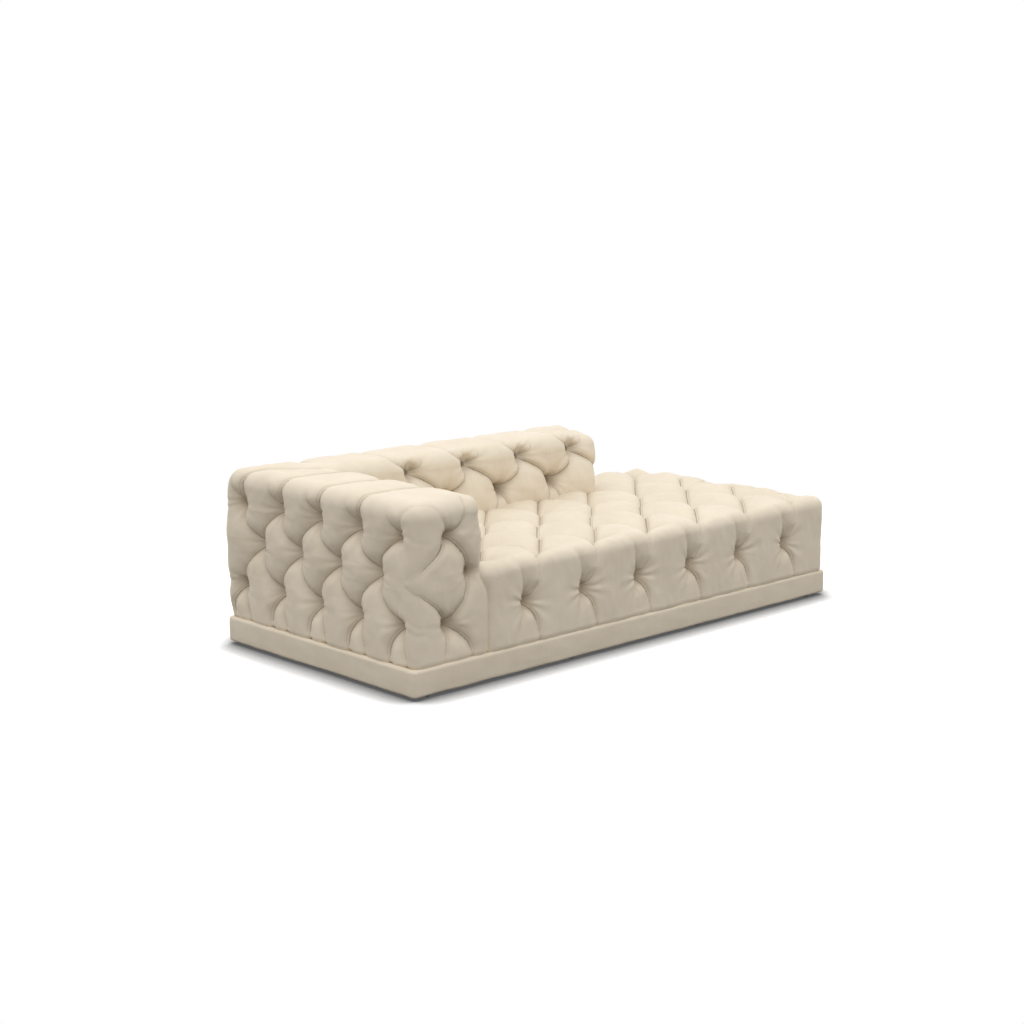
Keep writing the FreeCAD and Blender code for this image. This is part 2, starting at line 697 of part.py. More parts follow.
def rounded_end(stations, end):
    """The stations short of an end at x = end, and two more that close in to round its edge."""
    inward = 1 if end < 0 else -1
    last_column = stations[-1][0] + 1
    kept = [station for station in stations if (station[1] - end) * inward > edge_round * END_START]
    near = (last_column, end + inward * edge_round * END_NEAR, edge_round * END_NEAR_CLOSE)
    return kept + [near, (last_column, end, edge_round * END_CLOSE)]


def block(x, y, z):
    """A plain block between two places on each axis, to trim a pad with."""
    return Part.makeBox(x[1] - x[0], y[1] - y[0], z[1] - z[0], Vector(x[0], y[0], z[0]))


def pad(label, shape):
    """A pad as a sub-part of its own, which has to be one solid."""
    if len(shape.Solids) != 1:
        raise RuntimeError(f"{label} has {len(shape.Solids)} solids")
    solid = doc.addObject("Part::Feature", f"{label}_form")
    solid.Shape = shape.Solids[0]
    solid.Placement = FreeCAD.Placement()
    return piece(solid, label)


pillow_bulge = size("pillow_bulge")
edge_round = size("pad_edge_round")
diagonal = math.sqrt(0.5)
corner_cut = edge_round * (1 - diagonal)
seat_depth = size("seat_tuft_depth")
back_depth = size("back_tuft_depth")
seat_top = board_top + size("seat_pad_height")
top = size("overall_height")
gap = size("soft_clearance")
spare = size("outer_pad") / 4
far = size("length")
everywhere = (-far, far)


# Seat pad: the front edge, seven rows of tufts and the rear edge, lofted from the back to the foot
# end. The arm stands in its rear corner.
def seat_section(column, shrink):
    """The seat pad across: up the front from the border's tufts, over the rows and down the rear."""

    def drawn(row):
        return shrink if shrink else seat_depth * diamond(column, row)

    last = seat_rows + 1
    section = [
        (-body_y, board_top - spare, -1, 0, drawn(0), 0),
        (-body_y, board_top, -1, 0, drawn(0), pillow_bulge),
        (-body_y + corner_cut, seat_top - corner_cut, -diagonal, diagonal, drawn(0.5), pillow_bulge),
    ]
    for half_row in range(2, 2 * seat_rows + 1):
        row = half_row / 2
        row_y = seat_first_y + (row - 1) * seat_row_pitch
        section.append((row_y, seat_top, 0, 1, drawn(row), pillow_bulge))
    return section + [
        (body_y - corner_cut, seat_top - corner_cut, diagonal, diagonal, drawn(last - 0.5), pillow_bulge),
        (body_y, board_top, 1, 0, drawn(last), 0),
        (body_y, board_top - spare, 1, 0, drawn(last), 0),
    ]


seat_stations = rounded_end(quarters(-2, 2 * seat_columns, seat_first_x, seat_half_pitch), body_x)
seat_form = loft(seat_stations, seat_section, lambda along, p, q: Vector(along, p, q))
seat_form = seat_form.common(block((back_face + gap, far), everywhere, (board_top, far)))
seat_form = seat_form.cut(block((-far, arm_end + gap), (arm_face - gap, far), (0, far)))
pad("seat_pad", seat_form)


# Border pads below the seat pad: their upper edge is the row of tufts, and their pleats run down
# and apart to the plinth.
def border_section(face, column):
    """A border pad across, with its outside at -face: from the plinth up to the row of tufts."""

    def drawn(level):
        return seat_depth * diamond(column, (level - board_top) / size("border_pleat_drop"))

    middle = (plinth_top + board_top) / 2
    inside = -face + size("outer_pad") + spare
    return [
        (-face, plinth_top - spare, -1, 0, drawn(plinth_top), 0),
        (-face, plinth_top, -1, 0, drawn(plinth_top), pillow_bulge),
        (-face, middle, -1, 0, drawn(middle), pillow_bulge),
        (-face, board_top, -1, 0, drawn(board_top), 0),
        (-face, board_top + spare, -1, 0, drawn(board_top), 0),
        (inside, board_top + spare, 0, 1, 0, 0),
        (inside, plinth_top - spare, 0, -1, 0, 0),
    ]


border_z = (plinth_top, board_top)
long_border = quarters(-3, 2 * seat_columns + 1, seat_first_x, seat_half_pitch)
foot_border = quarters(-1, seat_rows + 2, seat_first_y - seat_row_pitch, seat_row_pitch)
front_form = loft(
    long_border,
    lambda column, shrink: border_section(body_y, column),
    lambda along, p, q: Vector(along, p, q),
)
rear_form = loft(
    long_border,
    lambda column, shrink: border_section(body_y, column),
    lambda along, p, q: Vector(along, -p, q),
)
foot_form = loft(
    foot_border,
    lambda column, shrink: border_section(body_x, column),
    lambda along, p, q: Vector(-p, along, q),
)
pad("front_border_pad", front_form.common(block((back_face, body_x), (-far, -frame_y), border_z)))
pad("rear_border_pad", rear_form.common(block((arm_frame_end, body_x), (frame_y, far), border_z)))
pad("foot_border_pad", foot_form.common(block((frame_x, far), (-frame_y, frame_y), border_z)))


# Back and arm pads: each wall is lofted whole, outside, over the top and down the inside, then
# trimmed into an outer pad that takes in the top and an inner pad.
def wall_section(outside, inside, column, shrink):
    """A wall across, with its outside at -outside and its inside at inside."""

    def drawn(row, share=1):
        return shrink if shrink else back_depth * share * diamond(column + 1, row)

    def ridge(share):
        return shrink if shrink else back_depth * straight(column, share)

    low, middle, high = outer_rows
    inner_low, inner_high = inner_rows
    bulge = pillow_bulge
    return [
        (-outside, plinth_top - spare, -1, 0, drawn(FOOT_ROW, HEM), 0),
        (-outside, plinth_top, -1, 0, drawn(FOOT_ROW, HEM), bulge),
        (-outside, (plinth_top + low) / 2, -1, 0, drawn(LOW_ROW), bulge),
        (-outside, low, -1, 0, drawn(1), bulge),
        (-outside, (low + middle) / 2, -1, 0, drawn(1.5), bulge),
        (-outside, middle, -1, 0, drawn(2), bulge),
        (-outside, (middle + high) / 2, -1, 0, drawn(2.5), bulge),
        (-outside, high, -1, 0, drawn(3), bulge),
        (-outside + corner_cut, top - corner_cut, -diagonal, diagonal, ridge(RIDGE), bulge),
        (-outside + edge_round, top, 0, 1, ridge(TOP_RIDGE), bulge),
        (inside - edge_round, top, 0, 1, ridge(TOP_RIDGE), bulge),
        (inside - corner_cut, top - corner_cut, diagonal, diagonal, ridge(RIDGE), bulge),
        (inside, inner_high, 1, 0, drawn(3), bulge),
        (inside, (inner_low + inner_high) / 2, 1, 0, drawn(2.5), bulge),
        (inside, inner_low, 1, 0, drawn(2), 0),
        (inside, (seat_top + board_top) / 2, 1, 0, 0, 0),
        (inside, plinth_top - spare, 1, 0, 0, 0),
    ]


back_stations = quarters(-1, 2 * back_columns - 1, back_first_y, back_half_pitch)
back_wall = loft(
    back_stations,
    lambda column, shrink: wall_section(body_x, back_face, column, shrink),
    lambda along, p, q: Vector(p, along, q),
)
back_inside = block((back_frame_inner, far), (-frame_y, arm_face - gap), (board_top, far))
back_outside = block((-far, back_frame_inner), (-frame_y, frame_y), (plinth_top, far))
back_core = block((-frame_x, back_frame_inner), everywhere, (0, frame_top))
pad("back_outer_pad", back_wall.common(back_outside).cut(back_core))
pad("back_inner_pad", back_wall.common(back_inside))

arm_count = int((arm_first_x + body_x) / arm_half_pitch) + 1
arm_stations = quarters(-1, arm_count, arm_first_x, -arm_half_pitch)
arm_wall = loft(
    rounded_end(arm_stations, -body_x),
    lambda column, shrink: wall_section(body_y, -arm_face, column, shrink),
    lambda along, p, q: Vector(along, -p, q),
)
arm_inside = block((back_frame_inner, arm_frame_end), (-far, arm_frame_inner), (board_top, far))
arm_outside = block((-far, arm_frame_end), (arm_frame_inner, far), (plinth_top, far))
arm_core = block((back_frame_inner, far), (arm_frame_inner, frame_y), (0, frame_top))
back_room = block((-far, back_frame_inner), (-far, frame_y), (0, far))
pad("arm_outer_pad", arm_wall.common(arm_outside).cut(arm_core).cut(back_room))
pad("arm_inner_pad", arm_wall.common(arm_inside))


# End pads: one column of tufts up the end of the back, and a plain swelling end on the arm. Both
# are lofted upwards.
def back_end_section(row, shrink):
    """The back's end pad seen from above, from its inner side round the end face to its outer side."""
    middle_x = (back_face - body_x) / 2
    half_width = (back_face + body_x) / 2

    def drawn(column, share=1):
        return shrink + back_depth * share * diamond(column + 1, row)

    return [
        (back_face, -frame_y + spare, 1, 0, shrink, 0),
        (back_face, -body_y + edge_round, 1, 0, shrink, pillow_bulge),
        (back_face - corner_cut, -body_y + corner_cut, diagonal, -diagonal, drawn(1, PINCH), pillow_bulge),
        (middle_x + half_width / 2, -body_y, 0, -1, drawn(0.5), pillow_bulge),
        (middle_x, -body_y, 0, -1, drawn(0), pillow_bulge),
        (middle_x - half_width / 2, -body_y, 0, -1, drawn(-0.5), pillow_bulge),
        (-body_x + corner_cut, -body_y + corner_cut, -diagonal, -diagonal, drawn(-1, PINCH), pillow_bulge),
        (-body_x, -body_y + edge_round, -1, 0, shrink, 0),
        (-body_x, -frame_y + spare, -1, 0, shrink, 0),
    ]


def arm_end_section(overhang, shrink):
    """The arm's end pad seen from above, from its outer side round the end face to its inner side."""
    face = arm_end + overhang
    inside = arm_frame_end - spare
    return [
        (inside, body_y, 0, 1, shrink, 0),
        (face - edge_round, body_y, 0, 1, shrink, pillow_bulge),
        (face - corner_cut, body_y - corner_cut, diagonal, diagonal, shrink, pillow_bulge),
        (face, (arm_face + body_y) / 2, 1, 0, shrink, pillow_bulge),
        (face - corner_cut, arm_face + corner_cut, diagonal, -diagonal, shrink, pillow_bulge),
        (face - edge_round, arm_face, 0, -1, shrink, 0),
        (inside, arm_face, 0, -1, shrink, 0),
    ]


low, middle, high = outer_rows
overhang = size("arm_end_overhang")
top_levels = [(top - edge_round * END_NEAR, edge_round * END_NEAR), (top, edge_round * TOP_CLOSE)]
back_end_levels = [(FOOT_ROW, plinth_top, 0), (LOW_ROW, (plinth_top + low) / 2, 0)]
back_end_levels += [(1 + step / 2, low + (high - low) * step / 4, 0) for step in range(5)]
back_end_levels += [(3.5, top - edge_round, 0)]
back_end_levels += [(4, level, shrink) for level, shrink in top_levels]
back_end_form = loft(back_end_levels, back_end_section, lambda along, p, q: Vector(p, q, along))
pad("back_end_pad", back_end_form.common(block(everywhere, (-far, -frame_y), (plinth_top, far))))

arm_end_levels = [
    (-pillow_bulge, board_top, 0),
    (-pillow_bulge, seat_top, 0),
    (0, inner_rows[0], 0),
    (overhang, inner_rows[1] - edge_round / 2, 0),
]
arm_end_levels += [(overhang, level, shrink) for level, shrink in top_levels]
arm_end_form = loft(arm_end_levels, arm_end_section, lambda along, p, q: Vector(p, q, along))
pad("arm_end_pad", arm_end_form.common(block((arm_frame_end, far), everywhere, (board_top, far))))

# Every object has to be sound before any file is written.
doc.recompute()
for item in doc.Objects:
    if "Invalid" in item.State or "Error" in item.State:
        raise RuntimeError(f"{item.Label} failed: {item.State}")
for item in pieces:
    if item.Shape.isNull() or not item.Shape.isValid():
        raise RuntimeError(f"{item.Label} has no valid shape")

os.makedirs("parts", exist_ok=True)
for item in pieces:
    item.Shape.exportStep(f"parts/{item.Label}.step")
print(f"{len(pieces)} pieces written")
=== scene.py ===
import math

import bmesh
import bpy
import numpy as np
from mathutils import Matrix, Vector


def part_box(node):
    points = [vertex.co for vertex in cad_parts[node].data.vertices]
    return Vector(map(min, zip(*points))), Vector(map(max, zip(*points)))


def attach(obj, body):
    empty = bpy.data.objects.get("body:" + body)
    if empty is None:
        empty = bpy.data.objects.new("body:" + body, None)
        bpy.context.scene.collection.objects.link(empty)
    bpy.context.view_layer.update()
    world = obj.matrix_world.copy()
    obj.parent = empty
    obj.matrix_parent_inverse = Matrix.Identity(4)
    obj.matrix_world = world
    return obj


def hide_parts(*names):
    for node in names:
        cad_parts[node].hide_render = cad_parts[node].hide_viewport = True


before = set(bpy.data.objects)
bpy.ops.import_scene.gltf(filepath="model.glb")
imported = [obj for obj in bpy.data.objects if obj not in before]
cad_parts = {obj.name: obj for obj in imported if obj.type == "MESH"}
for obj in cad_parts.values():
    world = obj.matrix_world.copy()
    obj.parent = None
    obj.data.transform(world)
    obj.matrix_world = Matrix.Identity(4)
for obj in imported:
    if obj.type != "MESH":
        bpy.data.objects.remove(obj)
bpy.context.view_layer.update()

# Timber frame: plinth rails, base rails, posts and blocks of planed hardwood, glued and screwed.
# The grain follows each board, so there is one finish for each direction that boards run in.
ALONG_GRAIN, ACROSS_GRAIN = 1.0, 14.0


def shader(name, roughness, specular):
    """A new material with its node tree, links and main shader."""
    finish = bpy.data.materials.new(name)
    finish.use_nodes = True
    tree = finish.node_tree
    surface = tree.nodes["Principled BSDF"]
    surface.inputs["Roughness"].default_value = roughness
    surface.inputs["Specular IOR Level"].default_value = specular
    return finish, tree.nodes, tree.links, surface


def pattern(nodes, links, kind, stretch=(1.0, 1.0, 1.0), **settings):
    """A procedural texture on Object coordinates, stretched by three factors."""
    place = nodes.new("ShaderNodeTexCoord")
    mapping = nodes.new("ShaderNodeMapping")
    mapping.inputs["Scale"].default_value = stretch
    texture = nodes.new(kind)
    for setting, value in settings.items():
        texture.inputs[setting].default_value = value
    links.new(place.outputs["Object"], mapping.inputs["Vector"])
    links.new(mapping.outputs["Vector"], texture.inputs["Vector"])
    return texture


def ramp(nodes, links, source, *stops):
    """A colour ramp over a texture's value; each stop is a position and a colour."""
    colours = nodes.new("ShaderNodeValToRGB")
    elements = colours.color_ramp.elements
    while len(elements) < len(stops):
        elements.new(0.5)
    for element, (position, colour) in zip(elements, stops):
        element.position = position
        element.color = (*colour, 1)
    links.new(source, colours.inputs["Fac"])
    return colours.outputs["Color"]


def relief(nodes, links, surface, height, strength, depth):
    """A bump from a texture's value, added to any bump that the surface has."""
    bump = nodes.new("ShaderNodeBump")
    bump.inputs["Strength"].default_value = strength
    bump.inputs["Distance"].default_value = depth
    links.new(height, bump.inputs["Height"])
    normal = surface.inputs["Normal"]
    if normal.is_linked:
        links.new(normal.links[0].from_socket, bump.inputs["Normal"])
    links.new(bump.outputs["Normal"], normal)


def textured(name, kind, value, stops, roughness, specular, strength, depth, **settings):
    """A finish of one texture: its value picks the colour from the stops and raises the relief."""
    finish, nodes, links, surface = shader(name, roughness, specular)
    height = pattern(nodes, links, kind, **settings).outputs[value]
    links.new(ramp(nodes, links, height, *stops), surface.inputs["Base Color"])
    relief(nodes, links, surface, height, strength, depth)
    return finish


def hardwood(name, stretch):
    """Long fibres: noise drawn out along the board, with darker bands of late wood."""
    return textured(
        name, "ShaderNodeTexNoise", "Fac",
        [(0.3, (0.34, 0.2, 0.1)), (0.5, (0.5, 0.33, 0.18)), (0.7, (0.62, 0.44, 0.27))],
        roughness=0.62, specular=0.3, strength=0.25, depth=0.002,
        stretch=stretch, Scale=4.0, Detail=8.0, Distortion=0.6,
    )


def dress(finish, *names):
    """Gives carried-over frame nodes their finish."""
    for name in names:
        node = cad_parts[name]
        node.data.materials.clear()
        node.data.materials.append(finish)


dress(
    hardwood("hardwood_lengthwise", (ALONG_GRAIN, ACROSS_GRAIN, ACROSS_GRAIN)),
    "plinth_rail_front", "plinth_rail_rear", "base_rail_front", "base_rail_rear",
    "arm_bottom_rail", "arm_top_rail",
)
dress(
    hardwood("hardwood_crosswise", (ACROSS_GRAIN, ALONG_GRAIN, ACROSS_GRAIN)),
    "plinth_rail_head", "plinth_rail_foot", "plinth_cross_rails", "base_rail_head", "base_rail_foot",
    "base_cross_rails", "back_bottom_rail", "back_top_rail",
)
dress(
    hardwood("hardwood_upright", (ACROSS_GRAIN, ACROSS_GRAIN, ALONG_GRAIN)),
    "plinth_corner_blocks", "base_corner_blocks", "back_posts", "arm_posts",
)

# Plywood: the seat board and the panels on both sides of the back and arm frames, glued and nailed
# to the rails. Its cut edges show the veneers as thin light and dark layers.
IN_SHEET, THROUGH_SHEET = 2.0, 900.0


def wire(links, target, value):
    """Feeds an input: by a link where the value is a socket, and else as a fixed value."""
    if isinstance(value, bpy.types.NodeSocket):
        links.new(value, target)
    else:
        target.default_value = value


def mixed(nodes, links, base, other, factor, blending="MIX"):
    """A base colour mixed with another one by a factor; each is a socket or a fixed value."""
    node = nodes.new("ShaderNodeMix")
    node.data_type = "RGBA"
    node.blend_type = blending
    wire(links, node.inputs["Factor"], factor)
    wire(links, node.inputs["A"], base)
    wire(links, node.inputs["B"], other)
    return node.outputs["Result"]


def plywood(name, layers):
    """Birch face veneer with soft figure, and layer lines across the sheet's thickness."""
    finish, nodes, links, surface = shader(name, roughness=0.58, specular=0.3)
    noise = "ShaderNodeTexNoise"
    figure = pattern(nodes, links, noise, (3.0, 3.0, 3.0), Scale=2.5, Detail=6.0, Distortion=1.5)
    face = ramp(nodes, links, figure.outputs["Fac"], (0.35, (0.56, 0.4, 0.23)), (0.65, (0.7, 0.54, 0.34)))
    veneer = pattern(nodes, links, noise, layers, Scale=1.0, Detail=0.0)
    shade = ramp(nodes, links, veneer.outputs["Fac"], (0.42, (0.72, 0.66, 0.6)), (0.58, (1.0, 1.0, 1.0)))
    colour = mixed(nodes, links, face, shade, 0.7, "MULTIPLY")
    links.new(colour, surface.inputs["Base Color"])
    relief(nodes, links, surface, figure.outputs["Fac"], strength=0.15, depth=0.001)
    return finish


dress(plywood("plywood_flat", (IN_SHEET, IN_SHEET, THROUGH_SHEET)), "seat_board")
dress(plywood("plywood_across", (THROUGH_SHEET, IN_SHEET, IN_SHEET)), "back_outer_panel", "back_inner_panel")
dress(plywood("plywood_along", (IN_SHEET, THROUGH_SHEET, IN_SHEET)), "arm_outer_panel", "arm_inner_panel")

# Screws and bolts: zinc plated steel with a fine spangle, driven through the rails into the blocks
# and boards.
steel = textured(
    "zinc_steel", "ShaderNodeTexVoronoi", "Distance",
    [(0.0, (0.52, 0.53, 0.55)), (0.8, (0.68, 0.68, 0.7))],
    roughness=0.34, specular=0.5, strength=0.1, depth=0.0005, Scale=160.0,
)
steel.node_tree.nodes["Principled BSDF"].inputs["Metallic"].default_value = 1.0
dress(
    steel, "plinth_corner_screws", "base_corner_screws", "glide_screws",
    "base_bolts", "back_bolts", "arm_bolts",
)

# Tuft ties: natural nylon twine and toggles that hold each tuft through its board or panel. The
# twine's strands show as fine noise.
nylon = textured(
    "tie_nylon", "ShaderNodeTexNoise", "Fac", [(0.3, (0.66, 0.64, 0.58)), (0.7, (0.8, 0.78, 0.72))],
    roughness=0.5, specular=0.4, strength=0.2, depth=0.0006, Scale=220.0, Detail=3.0,
)
dress(nylon, "seat_tuft_ties", "back_tuft_ties", "arm_tuft_ties")

# Glides: moulded black plastic feet, screwed under the plinth. Their skin is slightly mottled, as it
# comes out of the mould.
plastic = textured(
    "glide_plastic", "ShaderNodeTexNoise", "Fac",
    [(0.3, (0.018, 0.018, 0.018)), (0.7, (0.035, 0.034, 0.033))],
    roughness=0.45, specular=0.45, strength=0.25, depth=0.0004, Scale=300.0, Detail=4.0,
)
dress(plastic, "glides")

# Dust cover: black spunbond cloth with its pressed dot pattern, stretched over the underside and
# stapled to the plinth.
cloth = textured(
    "dust_cloth", "ShaderNodeTexVoronoi", "Distance",
    [(0.1, (0.012, 0.012, 0.012)), (0.6, (0.04, 0.04, 0.04))],
    roughness=0.9, specular=0.2, strength=0.4, depth=0.0005, Scale=500.0,
)
dress(cloth, "dust_cover")

# Plinth cover: a padded strip of cream leather round the plinth, folded over its top and bottom
# edges and stapled to the rails, with rounded corners.


def frame_box(node):
    """A frame node's lowest and highest corners, to a tenth of a millimetre."""
    return [[round(value, 4) for value in corner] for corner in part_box(node)]


band_low, band_high = frame_box("plinth_band_front")
PLINTH_X, PLINTH_Y = band_high[0], -band_low[1]
PLINTH_BOTTOM, PLINTH_TOP = band_low[2] + 0.0005, band_high[2]
PLINTH_CORNER = 0.012
LONG_SIDE, SHORT_SIDE = (6, 180), (6, 84)


def skirt(corners, radii, closed, inset, height, counts):
    """Skin round a plan outline of square corners, as a grid: along the outline, then up.

    At each level the outline is drawn in by that level's inset. Straight runs are divided evenly, and
    corners turn through a quarter circle whose radius is the corner's own less the inset. Counts give
    each run's steps, round its first corner and along it. Also gives each column's distance along the
    square outline, and that outline's length.
    """
    corners = np.asarray(corners, float)
    inset = np.asarray(inset, float)[None, :, None]
    total = len(corners)
    runs = total if closed else total - 1
    heads = np.roll(corners, -1, 0)[:runs] - corners[:runs]
    lengths = np.hypot(*heads.T)
    outward = np.stack([heads[:, 1], -heads[:, 0]], 1) / lengths[:, None]
    starts = np.concatenate([[0.0], np.cumsum(lengths)])

    def turn(corner):
        """Centre and radius of a corner's arc at every level."""
        before = outward[corner - 1] if closed or corner > 0 else np.zeros(2)
        after = outward[corner] if closed or corner < runs else np.zeros(2)
        radius = radii[corner]
        centre = corners[corner] - np.maximum(radius, inset) * (before + after)
        return centre, np.maximum(radius - inset, 0)

    columns, along = [], []
    for run in range(runs):
        centre, radius = turn(run)
        if radii[run] > 0:
            angle = np.linspace(0, math.pi / 2, counts[run][0], endpoint=False)
            away = np.cos(angle)[:, None] * outward[run - 1] + np.sin(angle)[:, None] * outward[run]
            columns.append(centre + radius * away[:, None, :])
            along.append(starts[run] + radii[run] * (angle / (math.pi / 4) - 1))
        last = (run + 1) % total
        centre_next, radius_next = turn(last)
        share = np.linspace(0, 1, counts[run][1] + 1)
        if closed or run < runs - 1:
            share = share[:-1]
        begin = centre + radius * outward[run]
        finish = centre_next + radius_next * outward[run]
        columns.append(begin + share[:, None, None] * (finish - begin))
        along.append(starts[run] + radii[run] + share * (lengths[run] - radii[run] - radii[last]))
    plan = np.concatenate(columns)
    level = np.broadcast_to(np.asarray(height, float)[None, :, None], plan.shape[:2] + (1,))
    return np.concatenate([plan, level], 2), np.concatenate(along), starts[-1]


def quads(columns, rows, around=False, over=False):
    """Corner numbers of the faces of a grid, joined up along or up where it closes on itself."""
    index = np.arange(columns * rows).reshape(columns, rows)
    if around:
        index = np.concatenate([index, index[:1]])
    if over:
        index = np.concatenate([index, index[:, :1]], 1)
    return np.stack([index[:-1, :-1], index[1:, :-1], index[1:, 1:], index[:-1, 1:]], 2).reshape(-1, 4)


def mesh_of(name, patches):
    """One welded, smooth mesh of several patches, each its points and its faces."""
    points = np.concatenate([patch.reshape(-1, 3) for patch, faces in patches])
    offsets = np.cumsum([0] + [patch.size // 3 for patch, faces in patches])
    faces = np.concatenate([faces + offset for (patch, faces), offset in zip(patches, offsets)])
    mesh = bpy.data.meshes.new(name)
    mesh.vertices.add(len(points))
    mesh.vertices.foreach_set("co", points.astype(np.float32).ravel())
    mesh.loops.add(faces.size)
    mesh.loops.foreach_set("vertex_index", faces.astype(np.int32).ravel())
    mesh.polygons.add(len(faces))
    mesh.polygons.foreach_set("loop_start", np.arange(0, faces.size, 4, dtype=np.int32))
    mesh.update(calc_edges=True)
    welded = bmesh.new()
    welded.from_mesh(mesh)
    bmesh.ops.remove_doubles(welded, verts=welded.verts, dist=1e-5)
    welded.to_mesh(mesh)
    welded.free()
    mesh.polygons.foreach_set("use_smooth", np.ones(len(mesh.polygons), bool))
    mesh.update()
    return mesh


def vertices(mesh):
    """Points and outward directions of a mesh, as arrays."""
    points = np.empty(len(mesh.vertices) * 3, np.float32)
    mesh.vertices.foreach_get("co", points)
    normals = np.empty(len(mesh.vertices) * 3, np.float32)
    mesh.vertex_normals.foreach_get("vector", normals)
    return points.reshape(-1, 3).astype(float), normals.reshape(-1, 3).astype(float)


WAVES, WAVE_PEAK = 14, 1.6


def ripple(points, size, seed):
    """Soft unevenness, mostly between -1 and 1: sine waves of about one size in many directions, added."""
    chance = np.random.default_rng(seed)
    heading = chance.normal(size=(WAVES, 3))
    rate = 2 * math.pi / size * chance.uniform(0.7, 1.4, WAVES)
    heading *= (rate / np.linalg.norm(heading, axis=1))[:, None]
    phase = chance.uniform(0, 2 * math.pi, WAVES)
    return np.sin(points @ heading.T + phase).sum(1) / math.sqrt(WAVES) / WAVE_PEAK


LEATHER_DARK, LEATHER, LEATHER_PALE = (0.70, 0.607, 0.47), (0.73, 0.637, 0.5), (0.76, 0.667, 0.53)
# Colours of the painted shade: a shadow line painted along each fold, and shade painted into the tufts.
FOLD_SHADOW_COLOUR, TUFT_SHADE_COLOUR = (0.26, 0.2, 0.13, 1), (0.2, 0.155, 0.1, 1)
FOLD_LINE, PLEAT = 0.026, 0.08
NO_LINE, FULL_LINE, FAINT_LINE = (0, 0, 0), (1, 1, 1), (0.3, 0.3, 0.3)


def computed(nodes, links, operation, *values):
    """The result of a Math node; each value is a socket or a number."""
    node = nodes.new("ShaderNodeMath")
    node.operation = operation
    for target, value in zip(node.inputs, values):
        wire(links, target, value)
    return node.outputs[0]


def leather():
    """Matt cream leather: fine pebble grain, faint cloudiness, and painted shade in its folds and tufts.

    The painted shade comes from each cover's own attributes: crease is 0.5 at the nearest fold and grows
    by 1 in 100 mm to the side that laps over it, near says how strongly that fold's painted shadow line is
    drawn, and the third gives the painted shade, 1 in the tufts and fainter along the folds. A fold's
    painted shadow is a dark line, and beside it a fainter one where the pleat's roll ends.
    """
    finish, nodes, links, surface = shader("cream_leather", roughness=0.56, specular=0.34)
    noise = "ShaderNodeTexNoise"
    cloud = pattern(nodes, links, noise, Scale=7.0, Detail=5.0, Roughness=0.6)
    tone = ramp(
        nodes, links, cloud.outputs["Fac"], (0.3, LEATHER_DARK), (0.5, LEATHER), (0.7, LEATHER_PALE)
    )
    marks = {}
    for label in ("crease", "near", "painted_shade"):
        attribute = nodes.new("ShaderNodeAttribute")
        attribute.attribute_name = label
        marks[label] = attribute.outputs["Fac"]
    roll = 0.5 + PLEAT
    line = ramp(
        nodes, links, marks["crease"],
        (0.5 - FOLD_LINE, NO_LINE), (0.5, FULL_LINE), (0.5 + FOLD_LINE, NO_LINE),
        (roll - FOLD_LINE, NO_LINE), (roll, FAINT_LINE), (roll + FOLD_LINE, NO_LINE),
    )
    # Painted shade: a dark shadow line along each fold, then the tufts' and folds' painted shade, mixed into
    # the leather's colour.
    shown = computed(nodes, links, "MULTIPLY", line, marks["near"])
    folded = mixed(nodes, links, tone, FOLD_SHADOW_COLOUR, shown)
    colour = mixed(nodes, links, folded, TUFT_SHADE_COLOUR, marks["painted_shade"])
    links.new(colour, surface.inputs["Base Color"])
    pebble = pattern(nodes, links, "ShaderNodeTexVoronoi", Scale=420.0)
    relief(nodes, links, surface, pebble.outputs["Distance"], strength=0.12, depth=0.0008)
    soft = pattern(nodes, links, noise, Scale=38.0, Detail=4.0, Distortion=0.4)
    relief(nodes, links, surface, soft.outputs["Fac"], strength=0.16, depth=0.006)
    return finish


cream_leather = leather()


def added(name, data):
    """A new object in the scene, at the origin."""
    unit = bpy.data.objects.new(name, data)
    bpy.context.scene.collection.objects.link(unit)
    return unit


def upholster(name, mesh, attributes):
    """A finished leather piece: stores its fold attributes, gives it leather and rides on the frame."""
    for label, values in attributes.items():
        mesh.attributes.new(label, "FLOAT", "POINT").data.foreach_set("value", values.astype(np.float32))
    mesh.materials.append(cream_leather)
    piece = added(name, mesh)
    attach(piece, "root")
    return piece


def band_section(bottom, top, thickness, low_round, high_round, swell):
    """The strip in section: up the face between two rounded edges with a slight swell, and back down.

    The rounded edges are quarter circles, and the swell is half a sine wave.
    """
    angle = np.linspace(0, math.pi / 2, 7)
    face = np.linspace(0, 1, 15)[1:-1]
    inset = np.concatenate([
        low_round * (1 - np.sin(angle)), -swell * np.sin(math.pi * face),
        high_round * (1 - np.cos(angle)), [thickness, thickness],
    ])
    height = np.concatenate([
        bottom + low_round * (1 - np.cos(angle)),
        bottom + low_round + face * (top - bottom - low_round - high_round),
        top - high_round * (1 - np.sin(angle)), [top, bottom],
    ])
    return inset, height


